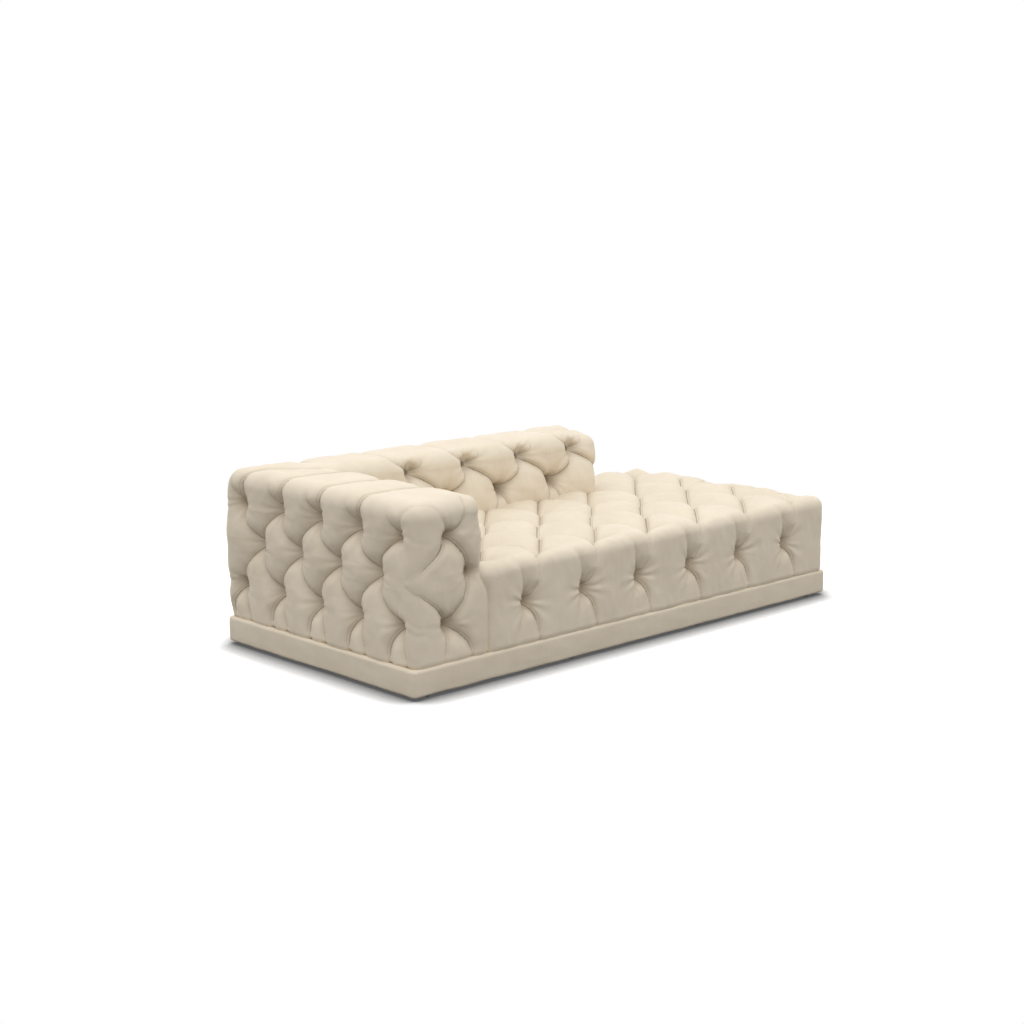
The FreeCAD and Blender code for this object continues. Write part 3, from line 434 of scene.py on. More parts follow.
inset, height = band_section(
    PLINTH_BOTTOM, PLINTH_TOP, thickness=0.034, low_round=0.009, high_round=0.011, swell=0.0004,
)
outline = [(-PLINTH_X, -PLINTH_Y), (PLINTH_X, -PLINTH_Y), (PLINTH_X, PLINTH_Y), (-PLINTH_X, PLINTH_Y)]
strip, _, _ = skirt(outline, [PLINTH_CORNER] * 4, True, inset, height, [LONG_SIDE, SHORT_SIDE] * 2)
mesh = mesh_of("plinth_cover", [(strip, quads(*strip.shape[:2], around=True, over=True))])
points, normals = vertices(mesh)
unevenness = 0.0011 * ripple(points, size=0.21, seed=3) + 0.0005 * ripple(points, size=0.06, seed=4)
points += normals * unevenness[:, None]
points[:, 2] = np.clip(points[:, 2], PLINTH_BOTTOM, None)
mesh.vertices.foreach_set("co", points.astype(np.float32).ravel())
plain = np.zeros(len(points))
plinth_cover = upholster("plinth_cover", mesh, {"crease": plain + 1, "near": plain, "painted_shade": plain})
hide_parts("plinth_band_front", "plinth_band_rear", "plinth_band_head", "plinth_band_foot")

# Seat cover: one hide of cream leather over deep foam, pulled down by ties in a diamond lattice,
# folded between the tufts, and carried down the front, the foot end and the open part of the rear.
seat_low, seat_high = frame_box("seat_pad")
SEAT_FRONT, SEAT_FOOT, SEAT_REAR = seat_low[1], seat_high[0], seat_high[1]
BACK_FACE = frame_box("back_end_pad")[1][0]
ARM_FACE = frame_box("arm_end_pad")[0][1]
ARM_END = 0.572
BEHIND_BACK, BEHIND_ARM = 0.03, 0.035
SEAT_HEAD = BACK_FACE - BEHIND_BACK
SEAT_TOP, SEAT_EDGE, SEAT_CORNER = 0.398, 0.038, 0.03
HEM, HEM_TUCK = PLINTH_TOP + 0.0005, 0.014
GRID = 0.0048


def cover_section(hem, tuck, top, edge):
    """A cover in section: tucked under at its hem, up the face and over the rounded top edge.

    Gives the inset and height of each level, and its distance up: the height on the face, and the
    arc's length added to it on the edge.
    """
    low = np.linspace(0, math.pi / 2, 5)
    face = np.linspace(0, 1, int((top - edge - hem - tuck) / GRID) + 2)[1:-1]
    high = np.linspace(0, math.pi / 2, int(edge * math.pi / 2 / GRID) + 2)
    face_height = hem + tuck + face * (top - edge - hem - tuck)
    inset = np.concatenate([tuck * (1 - np.sin(low)), 0 * face, edge * (1 - np.cos(high))])
    height = np.concatenate([hem + tuck * (1 - np.cos(low)), face_height, top - edge * (1 - np.sin(high))])
    up = np.concatenate([hem + tuck * (1 - np.cos(low)), face_height, top - edge + edge * high])
    return inset, height, up


def chart(grid, along, up, period=None):
    """A function from a mark on a skirt, its distances along and up, to that mark's point in space.

    On a skirt that closes on itself, marks repeat after the period.
    """
    if period:
        along = np.concatenate([along - period, along, along + period])
        grid = np.concatenate([grid] * 3)

    def place(mark_along, mark_up):
        """The mean of the four grid points round a mark, weighted by how near they are each way."""
        column = np.interp(mark_along, along, np.arange(len(along)))
        row = np.interp(mark_up, up, np.arange(len(up)))
        left, below = min(int(column), len(along) - 2), min(int(row), len(up) - 2)
        right_share, upper_share = column - left, row - below
        first = grid[left, below] * (1 - upper_share) + grid[left, below + 1] * upper_share
        second = grid[left + 1, below] * (1 - upper_share) + grid[left + 1, below + 1] * upper_share
        return first * (1 - right_share) + second * right_share

    return place


def ease(value, start, end):
    """0 at a start and before it, 1 at an end and past it, and 3 t^2 - 2 t^3 between."""
    t = np.clip((value - start) / (end - start), 0, 1)
    return t * t * (3 - 2 * t)


FOLD_STEPS = 7


def smooth(marks):
    """A curve through marks: a cubic between each two, with the slopes of their neighbours."""
    marks = np.asarray(marks, float)
    held = np.concatenate([[2 * marks[0] - marks[1]], marks, [2 * marks[-1] - marks[-2]]])
    t = np.linspace(0, 1, FOLD_STEPS, endpoint=False)[None, :, None]
    a, b, c, d = (held[k:len(held) - 3 + k][:, None] for k in range(4))
    curve = b + 0.5 * t * (c - a + t * (2 * a - 5 * b + 4 * c - d + t * (3 * (b - c) + d - a)))
    return np.concatenate([curve.reshape(-1, marks.shape[1]), marks[-1:]])


FOLD_REACH, LAP = 1.4, 0.25
FAR, FULLY_DRAWN = 0.5, 0.25


def fold_fields(points, normals, folds, crown):
    """What the folds do to a cover: its fullness, and its nearest fold's distance, drawing and strength.

    Beside a fold the cover rises as (1 - (1 - distance / width)^2)^crown, faster on the side that laps
    over, and the fold's dip is its strength * (1 - rise). Fullness is the product of 1 - dip over all
    folds. The nearest fold's distance is also given with a sign, plus on the side that laps over.
    """
    fullness = np.ones(len(points))
    nearest, signed = np.full(len(points), FAR), np.full(len(points), FAR)
    drawn, pulled = np.zeros(len(points)), np.zeros(len(points))
    for line, strength, width, lap, mark in folds:
        reach = FOLD_REACH * width
        chosen = np.flatnonzero(((points > line.min(0) - reach) & (points < line.max(0) + reach)).all(1))
        step = line[1:] - line[:-1]
        offset = points[chosen, None] - line[None, :-1]
        share = np.clip((offset * step).sum(2) / (step ** 2).sum(1), 0, 1)
        away = offset - share[..., None] * step
        distance = np.sqrt((away ** 2).sum(2))
        best = distance.argmin(1)
        rows = np.arange(len(chosen))
        share, away, distance = share[rows, best], away[rows, best], distance[rows, best]
        power = strength[best] * (1 - share) + strength[best + 1] * share
        side = np.sign((np.cross(normals[chosen], step[best]) * away).sum(1)) * lap
        short = 1 - np.clip(distance / (width * (1 - LAP * side)), 0, 1)
        fullness[chosen] *= 1 - power * (1 - (1 - short * short) ** crown)
        closer = distance < nearest[chosen]
        nearest[chosen[closer]] = distance[closer]
        signed[chosen[closer]] = (np.sign(side) * distance)[closer]
        drawn[chosen[closer]] = (mark * np.minimum(1, power / FULLY_DRAWN))[closer]
        pulled[chosen[closer]] = power[closer]
    return fullness, nearest, signed, drawn, pulled


TUFT_REACH, TUFT_HOLD = 0.12, 0.055
FUNNEL_DEPTH, FUNNEL_REACH, PIT_DEPTH, PIT_RADIUS = 0.03, 0.032, 0.03, 0.015
RAY_PEAK, RAY_COUNTS, RAY_ZERO = 0.026, (9, 13), (0.31, 0.17, 0.93)
DARK_SHADE, DARK_RADIUS, PALE_SHADE, PALE_RADIUS = 0.95, 0.016, 0.3, 0.032


def bell(distance, radius):
    """A smooth bell, exp(-(distance / radius)^2)."""
    return np.exp(-((distance / radius) ** 2))


def tuft_fields(points, normals, tufts, wrinkle, chance):
    """What the tufts do to a cover: how far and in which direction they draw it, and their shade.

    A tuft is a funnel, exp(-distance / reach), with a narrow pit, a bell, in its middle. Small rays
    round it are sine waves of the angle that peak at one distance. Near a tuft the cover moves along
    that tuft's own direction, by a bell of the distance, and elsewhere along its own.
    """
    inward, shade = np.zeros(len(points)), np.zeros(len(points))
    heading = normals.copy()
    for tuft, force in tufts:
        chosen = np.flatnonzero((np.abs(points - tuft) < TUFT_REACH).all(1))
        offset = points[chosen] - tuft
        distance = np.linalg.norm(offset, axis=1)
        across = np.cross(normals[chosen], RAY_ZERO)
        angle = np.arctan2((offset * np.cross(normals[chosen], across)).sum(1), (offset * across).sum(1))
        rays = sum(np.sin(count * angle + chance.uniform(0, 6)) for count in RAY_COUNTS)
        funnel = FUNNEL_DEPTH * np.exp(-distance / FUNNEL_REACH)
        pit = PIT_DEPTH * bell(distance, PIT_RADIUS)
        around = distance / RAY_PEAK * np.exp(1 - distance / RAY_PEAK)
        inward[chosen] += force * (funnel + pit + wrinkle * rays * around)
        # A tuft's painted shade: dark in its pit and fainter round it, mixed into the leather's colour.
        dark = np.maximum(DARK_SHADE * bell(distance, DARK_RADIUS), PALE_SHADE * bell(distance, PALE_RADIUS))
        shade[chosen] = np.maximum(shade[chosen], force * dark)
        own = normals[chosen[distance.argmin()]]
        heading[chosen] += bell(distance, TUFT_HOLD)[:, None] * (own - heading[chosen])
    return inward, heading, shade


FREE_ROOM, HELD_ROOM = 0.67, 0.33
SLOW_RIPPLE, FINE_RIPPLE = 0.0014, 0.0007
CREASE_SPAN, LINE_REACH = 0.1, 0.014
FOLD_SHADE, FOLD_SHADE_REACH = 0.4, 0.009


def quilt(mesh, folds, tufts, bells, depth, crown, lift, wrinkle, room, seed):
    """Draws a cover in along its folds and at its tufts, and gives its fold attributes.

    The cover goes in by depth * (1 - fullness) and by its tufts, and lift sets the crowns out again. Each
    bell has a place, how far it draws in, or out below 0, and a radius. Two ripples add unevenness. The
    last third of the room above the boards is taken up ever more slowly, so no tuft reaches them.
    """
    points, normals = vertices(mesh)
    fullness, nearest, signed, drawn, pulled = fold_fields(points, normals, folds, crown)
    inward, heading, shade = tuft_fields(points, normals, tufts, wrinkle, np.random.default_rng(seed))
    inward += depth * (1 - fullness) - lift
    for place, drop, radius in bells:
        inward += drop * bell(np.linalg.norm(points - place, axis=1), radius)
    inward += SLOW_RIPPLE * ripple(points, size=0.16, seed=seed)
    inward += FINE_RIPPLE * ripple(points, size=0.05, seed=seed + 1)
    space = room(points)
    over = np.clip(inward - FREE_ROOM * space, 0, None)
    inward += HELD_ROOM * space * (1 - np.exp(-over / (HELD_ROOM * space))) - over
    points -= heading * inward[:, None]
    mesh.vertices.foreach_set("co", points.astype(np.float32).ravel())
    # Crease and near draw the folds' painted shadow lines; the third attribute is painted shade in the tufts
    # and along the folds.
    return {
        "crease": np.clip(0.5 + signed / CREASE_SPAN, 0, 1),
        "near": drawn * (nearest < LINE_REACH),
        "painted_shade": np.maximum(shade, FOLD_SHADE * pulled * np.exp(-nearest / FOLD_SHADE_REACH)),
    }


inset, height, up = cover_section(HEM, HEM_TUCK, SEAT_TOP, SEAT_EDGE)
flat_end = SEAT_FOOT - SEAT_EDGE
run = round((flat_end - SEAT_HEAD) / GRID)
span = round((SEAT_REAR - SEAT_FRONT - 2 * SEAT_EDGE) / GRID)
step = (flat_end - SEAT_HEAD) / run
rear_run = round((flat_end - ARM_END + BEHIND_ARM) / step)
rear_start = flat_end - rear_run * step
outline = [(SEAT_HEAD, SEAT_FRONT), (SEAT_FOOT, SEAT_FRONT), (SEAT_FOOT, SEAT_REAR), (rear_start, SEAT_REAR)]
radii = [0, SEAT_CORNER, SEAT_CORNER, 0]
sides, along, _ = skirt(outline, radii, False, inset, height, [(0, run), (8, span), (8, rear_run)])

TUCK = 0.045
FRONT_TUCK, FRONT_TUCK_SHIFT, FRONT_TUCK_HEIGHTS = -0.738, 0.04, (0.27, 0.4)
REAR_TUCK = ARM_END + 0.03
TUCK_INNER, TUCK_OUTER = 0.4, 0.5


def tuck_in(points):
    """The front turns in behind the back's end, and the rear behind the arm's: by 45 mm over 45 mm.

    It fades out from the outer edge inwards. On the front it starts further back higher up.
    """
    x, y, z = (points[..., axis] for axis in range(3))
    start = np.where(y < 0, FRONT_TUCK - FRONT_TUCK_SHIFT * ease(z, *FRONT_TUCK_HEIGHTS), REAR_TUCK)
    edge = np.clip((np.abs(y) - TUCK_INNER) / (TUCK_OUTER - TUCK_INNER), 0, 1)
    points[..., 1] -= np.sign(y) * TUCK * edge * ease(start - x, 0, TUCK)
    return points


sides = tuck_in(sides)
seat_x = np.linspace(SEAT_HEAD, flat_end, run + 1)
seat_y = np.linspace(SEAT_FRONT + SEAT_EDGE, SEAT_REAR - SEAT_EDGE, span + 1)
flat = tuck_in(np.stack(np.broadcast_arrays(seat_x[:, None], seat_y[None, :], SEAT_TOP), 2))
mesh = mesh_of("seat_cover", [(sides, quads(*sides.shape[:2])), (flat, quads(*flat.shape[:2]))])
on_side = chart(sides, along, up)
foot_start = SEAT_FOOT - SEAT_HEAD
rear_side = foot_start + SEAT_REAR - SEAT_FRONT


def on_front(x, z):
    """A point on the seat's front, or over its edge where z is more than the face's height."""
    return on_side(x - SEAT_HEAD, z)


def on_foot(y, z):
    """A point on the seat's foot end."""
    return on_side(foot_start + y - SEAT_FRONT, z)


def on_rear(x, z):
    """A point on the open part of the seat's rear."""
    return on_side(rear_side + SEAT_FOOT - x, z)


FIRST_X, PITCH = -0.703, 0.285
ROWS = (-0.395, -0.19, -0.035, 0.107, 0.29, 0.43)
LINES = range(-3, 7)
OPEN_HEAD, OPEN_FOOT = -0.8, 1.0
EDGE_HEAD, EDGE_FOOT = -0.81, 1.03


def seat_tuft(line, row):
    """A place of the seat's lattice. Its lines run at 45 degrees, so a row steps as far along as back."""
    return np.array([FIRST_X + line * PITCH + ROWS[row] - ROWS[0], ROWS[row], SEAT_TOP])


def on_seat(node):
    """Whether a lattice place is on the open seat, clear of the back, the arm and the foot end."""
    return OPEN_HEAD < node[0] < OPEN_FOOT and not (node[1] > ARM_FACE + 0.02 and node[0] < ARM_END)


def clipped(node, beyond):
    """The place where the way from a lattice place to one beyond the seat meets its edge."""
    share = min(1.0, (EDGE_FOOT - node[0]) / (beyond[0] - node[0])) if beyond[0] > OPEN_FOOT else 1.0
    share = (EDGE_HEAD - node[0]) / (beyond[0] - node[0]) if beyond[0] < EDGE_HEAD else share
    return node + share * (beyond - node)


folds, tufts, bells = [], [], []


def fold(marks, strength, width, lap=1, mark=0.75):
    """Adds a fold to the cover in hand, through points in space, with its strength at each of them.

    Lap is 1 or -1 for the side that laps over, more or less for a fuller or flatter lap, and mark says
    how dark the fold's painted shadow line is drawn.
    """
    steps = np.linspace(0, len(marks) - 1, FOLD_STEPS * (len(marks) - 1) + 1)
    folds.append((smooth(marks), np.interp(steps, np.arange(len(marks)), strength), width, lap, mark))


def marks_on(side, start, *marks):
    """Points on one side of a cover: each mark is a distance along from a start, and a height."""
    return [side(start + distance, height) for distance, height in marks]


# On the seat each place is joined to the next row: by a narrow drawn fold and a wide soft one along
# its line, and by a deep soft one across it. Each is a step of lines, strength, width, lap and mark.
SEAT_FOLDS = ((0, 0.35, 0.034, -1, 0.9), (0, 0.36, 0.1, 1, 0.0), (-1, 0.95, 0.125, 0.8, 0.0))
TUFT_PULL, JOG = 0.6, 0.007
for row in range(len(ROWS)):
    for line in LINES:
        node = seat_tuft(line, row)
        if on_seat(node):
            tufts.append((node, 0.5))
        if row == len(ROWS) - 1:
            continue
        for step_line, strength, width, lap, mark in SEAT_FOLDS:
            ends = [node, seat_tuft(line + step_line, row + 1)]
            held = [on_seat(end) for end in ends]
            if not any(held):
                continue
            if not held[0]:
                ends[0] = clipped(ends[1], ends[0])
            if not held[1]:
                ends[1] = clipped(ends[0], ends[1])
            jog = np.array([JOG * (-1) ** row, 0, 0]) * (step_line == 0)
            first, last = (max(strength, TUFT_PULL) if tuft else strength for tuft in held)
            middle = (ends[0] + ends[1]) / 2
            fold([ends[0] + jog, middle + jog, ends[1] + jog], [first, strength, last], width, lap, mark)

# On the front each tuft has a bell that eases the leather in above it, folds up to the left and up to
# the seat's first row, a soft scallop down from that row, and two folds down to the hem.
FRONT_ROW, FRONT_SHIFT = 0.245, 0.126
for k in range(6):
    x = FIRST_X + FRONT_SHIFT + k * PITCH
    dimple, crest = on_front(x, FRONT_ROW), seat_tuft(k + 1, 0)
    tufts.append((dimple, 1.0))
    bells.append((on_front(x + 0.016, 0.285), 0.009, 0.036))
    fold([dimple, *marks_on(on_front, x, (-0.012, 0.3), (-0.03, 0.36), (-0.05, 0.405))],
         [1.0, 0.3, 0.22, 0.06], 0.05, 1.3, 0.35)
    fold([dimple, *marks_on(on_front, x, (0.03, 0.27), (0.048, 0.31), (0.058, 0.37), (0.078, 0.43)), crest],
         [0.5, 0.16, 0.1, 0.1, 0.16, 0.6], 0.022, -1)
    fold([crest, *marks_on(on_front, x, (0.08, 0.415), (0.06, 0.37), (0.05, 0.32))],
         [0.8, 0.55, 0.3, 0.0], 0.085, 1, 0.0)
    fold([dimple, *marks_on(on_front, x, (0.037, 0.195), (0.06, 0.1))], [1.0, 0.42, 0.34], 0.03)
    fold([dimple, *marks_on(on_front, x, (-0.03, 0.18), (-0.045, 0.1))], [0.7, 0.2, 0.1], 0.035, -1, 0.0)

# The foot end and the rear have tufts in the same row, with folds up and down on both sides.
FOOT_FIRST, FOOT_PITCH = -0.255, 0.28
for k in range(3):
    y = FOOT_FIRST + FOOT_PITCH * k
    dimple = on_foot(y, FRONT_ROW)
    tufts.append((dimple, 1.0))
    for side in (-1, 1):
        fold([dimple, *marks_on(on_foot, y, (0.025 * side, 0.3), (0.05 * side, 0.36), (0.07 * side, 0.42))],
             [1.0, 0.5, 0.4, 0.2], 0.05, -side, 0.5)
        fold([dimple, *marks_on(on_foot, y, (0.045 * side, 0.18), (0.065 * side, 0.1))],
             [1.0, 0.5, 0.4], 0.045, side)
REAR_TUFT = 0.848
dimple = on_rear(REAR_TUFT, FRONT_ROW)
tufts.append((dimple, 1.0))
for side in (-1, 1):
    fold([dimple, *marks_on(on_rear, REAR_TUFT, (0.03 * side, 0.31), (0.06 * side, 0.41))],
         [1.0, 0.5, 0.2], 0.05, side, 0.5)
    fold([dimple, on_rear(REAR_TUFT + 0.06 * side, 0.1)], [1.0, 0.5], 0.045, side)

SIDE_ROOM, TOP_ROOM, TOP_LEVEL = 0.056, 0.1, 0.29


def seat_room(points):
    """How far the seat's cover may go in: 56 mm on the sides, where the rails are, and 100 mm on top."""
    return np.where(points[:, 2] > TOP_LEVEL, TOP_ROOM, SIDE_ROOM)


attributes = quilt(
    mesh, folds, tufts, bells, depth=0.05, crown=0.55, lift=0.014, wrinkle=0.0018, room=seat_room, seed=11,
)
seat_cover = upholster("seat_cover", mesh, attributes)
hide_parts("seat_pad", "front_border_pad", "foot_border_pad", "rear_border_pad")

# Wall cover: the same leather over the back and the arm, which stand round the seat in one line. Its
# lattice runs on round the corners, and its folds go over the top from face to face.
HEAD, FRONT, REAR = frame_box("back_end_pad")[0][0], SEAT_FRONT, SEAT_REAR
WALL_TOP, WALL_EDGE = 0.64, 0.05
inset, height, up = cover_section(HEM, HEM_TUCK, WALL_TOP, WALL_EDGE)
outline = [
    (HEAD, FRONT), (BACK_FACE, FRONT), (BACK_FACE, ARM_FACE),
    (ARM_END, ARM_FACE), (ARM_END, REAR), (HEAD, REAR),
]
radii = [0.03, 0.035, 0, 0.045, 0.045, 0.03]
wide = round((BACK_FACE - HEAD - 2 * WALL_EDGE) / GRID)
deep = round((ARM_FACE - FRONT) / GRID)
reach = round((ARM_END - BACK_FACE) / GRID)
thin = round((REAR - ARM_FACE - 2 * WALL_EDGE) / GRID)
counts = [(9, wide), (9, deep), (0, reach), (9, thin), (9, reach + wide), (9, thin + deep)]
wall, along, around = skirt(outline, radii, True, inset, height, counts)

ARM_SWELL, ARM_SWELL_HEIGHTS, ARM_SWELL_RUN = 0.01, (0.42, 0.54), 0.15
BACK_SWELL, BACK_SWELL_HEIGHTS, BACK_SWELL_RUN = 0.032, (0.395, 0.295), 0.16


def swell_ends(points):
    """The ends swell: the arm's by 10 mm towards its top, and the back's by 32 mm below its notch.

    Both fade in with the height as 3 t^2 - 2 t^3. Along the wall the arm's fades in as t^2, and the
    back's as 3 t^2 - 2 t^3, on the near end only.
    """
    x, y, z = (points[..., axis] for axis in range(3))
    run_in = np.clip((x - ARM_END) / ARM_SWELL_RUN + 1, 0, 1)
    near_end = (x < BACK_FACE + 0.01) * np.clip((-0.4 - y) / 0.06, 0, 1)
    beside = ease(np.clip((x - BACK_FACE) / BACK_SWELL_RUN + 1, 0, 1) * near_end, 0, 1)
    arm = ARM_SWELL * ease(z, *ARM_SWELL_HEIGHTS) * run_in * run_in
    points[..., 0] += arm + BACK_SWELL * ease(z, *BACK_SWELL_HEIGHTS) * beside
    return points


starts = np.cumsum([0] + [steps for pair in counts for steps in pair])
rim = wall[:, -1]


def side_of(run_number):
    """The points of a straight run on the inner edge of the top's rounding."""
    first = starts[2 * run_number + 1]
    return rim[np.arange(first, first + counts[run_number][1] + 1) % len(rim)]


def ruled(first, second, shares):
    """Straight lines between the points of two sides, divided by the shares."""
    return first[:, None] + shares[None, :, None] * (second - first)[:, None]


inner_rim, arm_rim = side_of(1), side_of(2)
rear_back, head_back = side_of(4)[::-1], side_of(5)[::-1]
across_back = np.linspace(0, 1, wide + 1)
across_arm = np.linspace(0, 1, thin + 1)
back_top = ruled(head_back[:deep + 1], inner_rim, across_back).transpose(1, 0, 2)
arm_top = ruled(arm_rim, rear_back[wide:], across_arm)
corner_top = ruled(head_back[deep:], arm_top[0], across_back).transpose(1, 0, 2)
patches = [(wall, quads(*wall.shape[:2], around=True))]
patches += [(patch, quads(*patch.shape[:2])) for patch in (back_top, arm_top, corner_top)]
mesh = mesh_of("wall_cover", [(swell_ends(patch), faces) for patch, faces in patches])
wall_at = chart(wall, along, up, around)
folds, tufts, bells = [], [], []


def top_at(x, y):
    """A point on the flat top of the back and the arm."""
    return np.array([x, y, WALL_TOP])


def bowed(start, end, bow, strength, width=0.075, lap=1, mark=0.75):
    """A fold on the wall between two marks (along, up), bowed along the wall by half a sine wave.

    Strength is given at its start, middle and end.
    """
    shares = np.linspace(0, 1, 5)
    distances = start[0] + (end[0] - start[0]) * shares + bow * np.sin(math.pi * shares)
    heights = start[1] + (end[1] - start[1]) * shares
    points = [wall_at(*mark_place) for mark_place in zip(distances, heights)]
    fold(points, np.interp(shares, (0, 0.5, 1), strength), width, lap, mark)


# The head end has three rows of tufts joined by arcs. Those that run one way have a darker painted shadow
# line than those that run the other way. Each low tuft has two folds down to the hem, and each high one has
# one fold up.
HIGH, MIDDLE, LOW = 0.53, 0.392, 0.234
HALF, FIRST_HEAD = 0.10775, -0.0825
for k in range(5):
    s = FIRST_HEAD - 2 * HALF * k
    tufts += [(wall_at(s, HIGH), 1.0 if k else 0.7), (wall_at(s, LOW), 1.0)]
    if k < 4:
        tufts.append((wall_at(s - HALF, MIDDLE), 1.0))
    for side in (-1, 1):
        if not 0 <= k - side <= 4:
            continue
        for z, lap in ((HIGH, 1), (LOW, -1)):
            mark = 1.0 if side * lap < 0 else 0.5
            bowed((s, z), (s + side * HALF, MIDDLE), -0.027, (1.0, 0.6, 1.0), 0.066, lap, mark)
    bowed((s, LOW), (s - 0.042, HEM), -0.02, (1.0, 0.65, 0.5), 0.055, -1)
    bowed((s, LOW), (s + 0.048, HEM), 0.0, (1.0, 0.65, 0.5), 0.055)
    bowed((s, HIGH), (s - 0.05, 0.625), -0.008, (0.8, 0.3 if k else 0.15, 0.0), 0.04, 1, 0.3)

# The back's inner face has two rows above the seat. From the head's second, third and fourth high tuft
# a fold goes over the top to the inner face, and from the fifth to the corner with the arm.
INNER_HIGH, INNER_LOW, INNER_FIRST = 0.58, 0.465, 0.3465
for k in range(4):
    s = INNER_FIRST + 2 * HALF * k
    tufts.append((wall_at(s, INNER_HIGH), 1.0))
    for side in (-1, 1):
        if 0 <= k + side <= 3:
            bowed((s, INNER_HIGH), (s + side * HALF, INNER_LOW), 0.02, (1.0, 0.5, 1.0), 0.055)
    if k < 3:
        low_s = s + HALF
        tufts.append((wall_at(low_s, INNER_LOW), 1.0))
        for side in (-1, 1):
            bowed((low_s, INNER_LOW), (low_s + 0.05 * side, 0.36), 0.0, (1.0, 0.6, 0.5), 0.045)
    if k > 0:
        head_s = FIRST_HEAD - 2 * HALF * k
        y_head, y_inner = FRONT - head_s, FRONT + s - (BACK_FACE - HEAD)
        ridge = top_at((HEAD + BACK_FACE) / 2, (y_head + y_inner) / 2 - 0.01)
        fold(
            [*marks_on(wall_at, head_s, (0.0, HIGH), (0.014, 0.6), (0.02, 0.65)),
             top_at(HEAD + 0.09, y_head - 0.022), ridge, top_at(BACK_FACE - 0.08, y_inner),
             *marks_on(wall_at, s, (0.0, 0.63), (0.0, INNER_HIGH))],
            [1.0, 0.65, 0.5, 0.45, 0.35, 0.45, 0.6, 1.0], 0.06,
        )
head_s = FIRST_HEAD - 8 * HALF
fold(
    [*marks_on(wall_at, head_s, (0.0, HIGH), (0.0, 0.6), (0.01, 0.65)),
     top_at(HEAD + 0.11, 0.41), top_at(BACK_FACE - 0.05, ARM_FACE + 0.04)],
    [1.0, 0.8, 0.65, 0.5, 0.6], 0.075,
)

# The back's near end has a tuft high and low and a notch beside the seat. A tongue of leather lies
# over its top between the end's tuft and the head's first.
END_S, END_HIGH, END_LOW, NOTCH_S = 0.158, 0.525, 0.225, 0.25
upper, lower, notch = (END_S, END_HIGH), (END_S, END_LOW), (NOTCH_S, MIDDLE)
tufts += [(wall_at(*upper), 0.75), (wall_at(*lower), 1.0), (wall_at(*notch), 0.7)]
tongue = [
    (FIRST_HEAD, HIGH), (-0.066, 0.575), (-0.04, 0.622), (0.022, 0.64), (0.085, 0.628), (0.127, 0.58), upper,
]
fold([wall_at(*place) for place in tongue], [0.7, 0.2, 0.1, 0.08, 0.1, 0.2, 0.7], 0.018, -1)
fold([wall_at(*upper), wall_at(0.205, 0.565), wall_at(0.228, 0.64), top_at(-0.85, -0.44)],
     [0.8, 0.35, 0.2, 0.05], 0.035, 1, 0.6)
bowed(upper, (-0.025, 0.4), 0.025, (1.0, 0.35, 0.12), 0.04)
bowed(lower, (-0.025, 0.372), 0.022, (1.0, 0.35, 0.12), 0.04, -1)
bowed(upper, notch, 0.016, (1.0, 0.6, 0.8), 0.05)
bowed(lower, notch, 0.004, (1.0, 0.5, 0.8), 0.05, -1, 0.4)
bowed(lower, (END_S - 0.03, HEM), 0.0, (1.0, 0.45, 0.25), 0.05, 1, 0.3)
bowed(lower, (END_S + 0.075, HEM), 0.02, (1.0, 0.55, 0.35), 0.05, 1, 0.6)

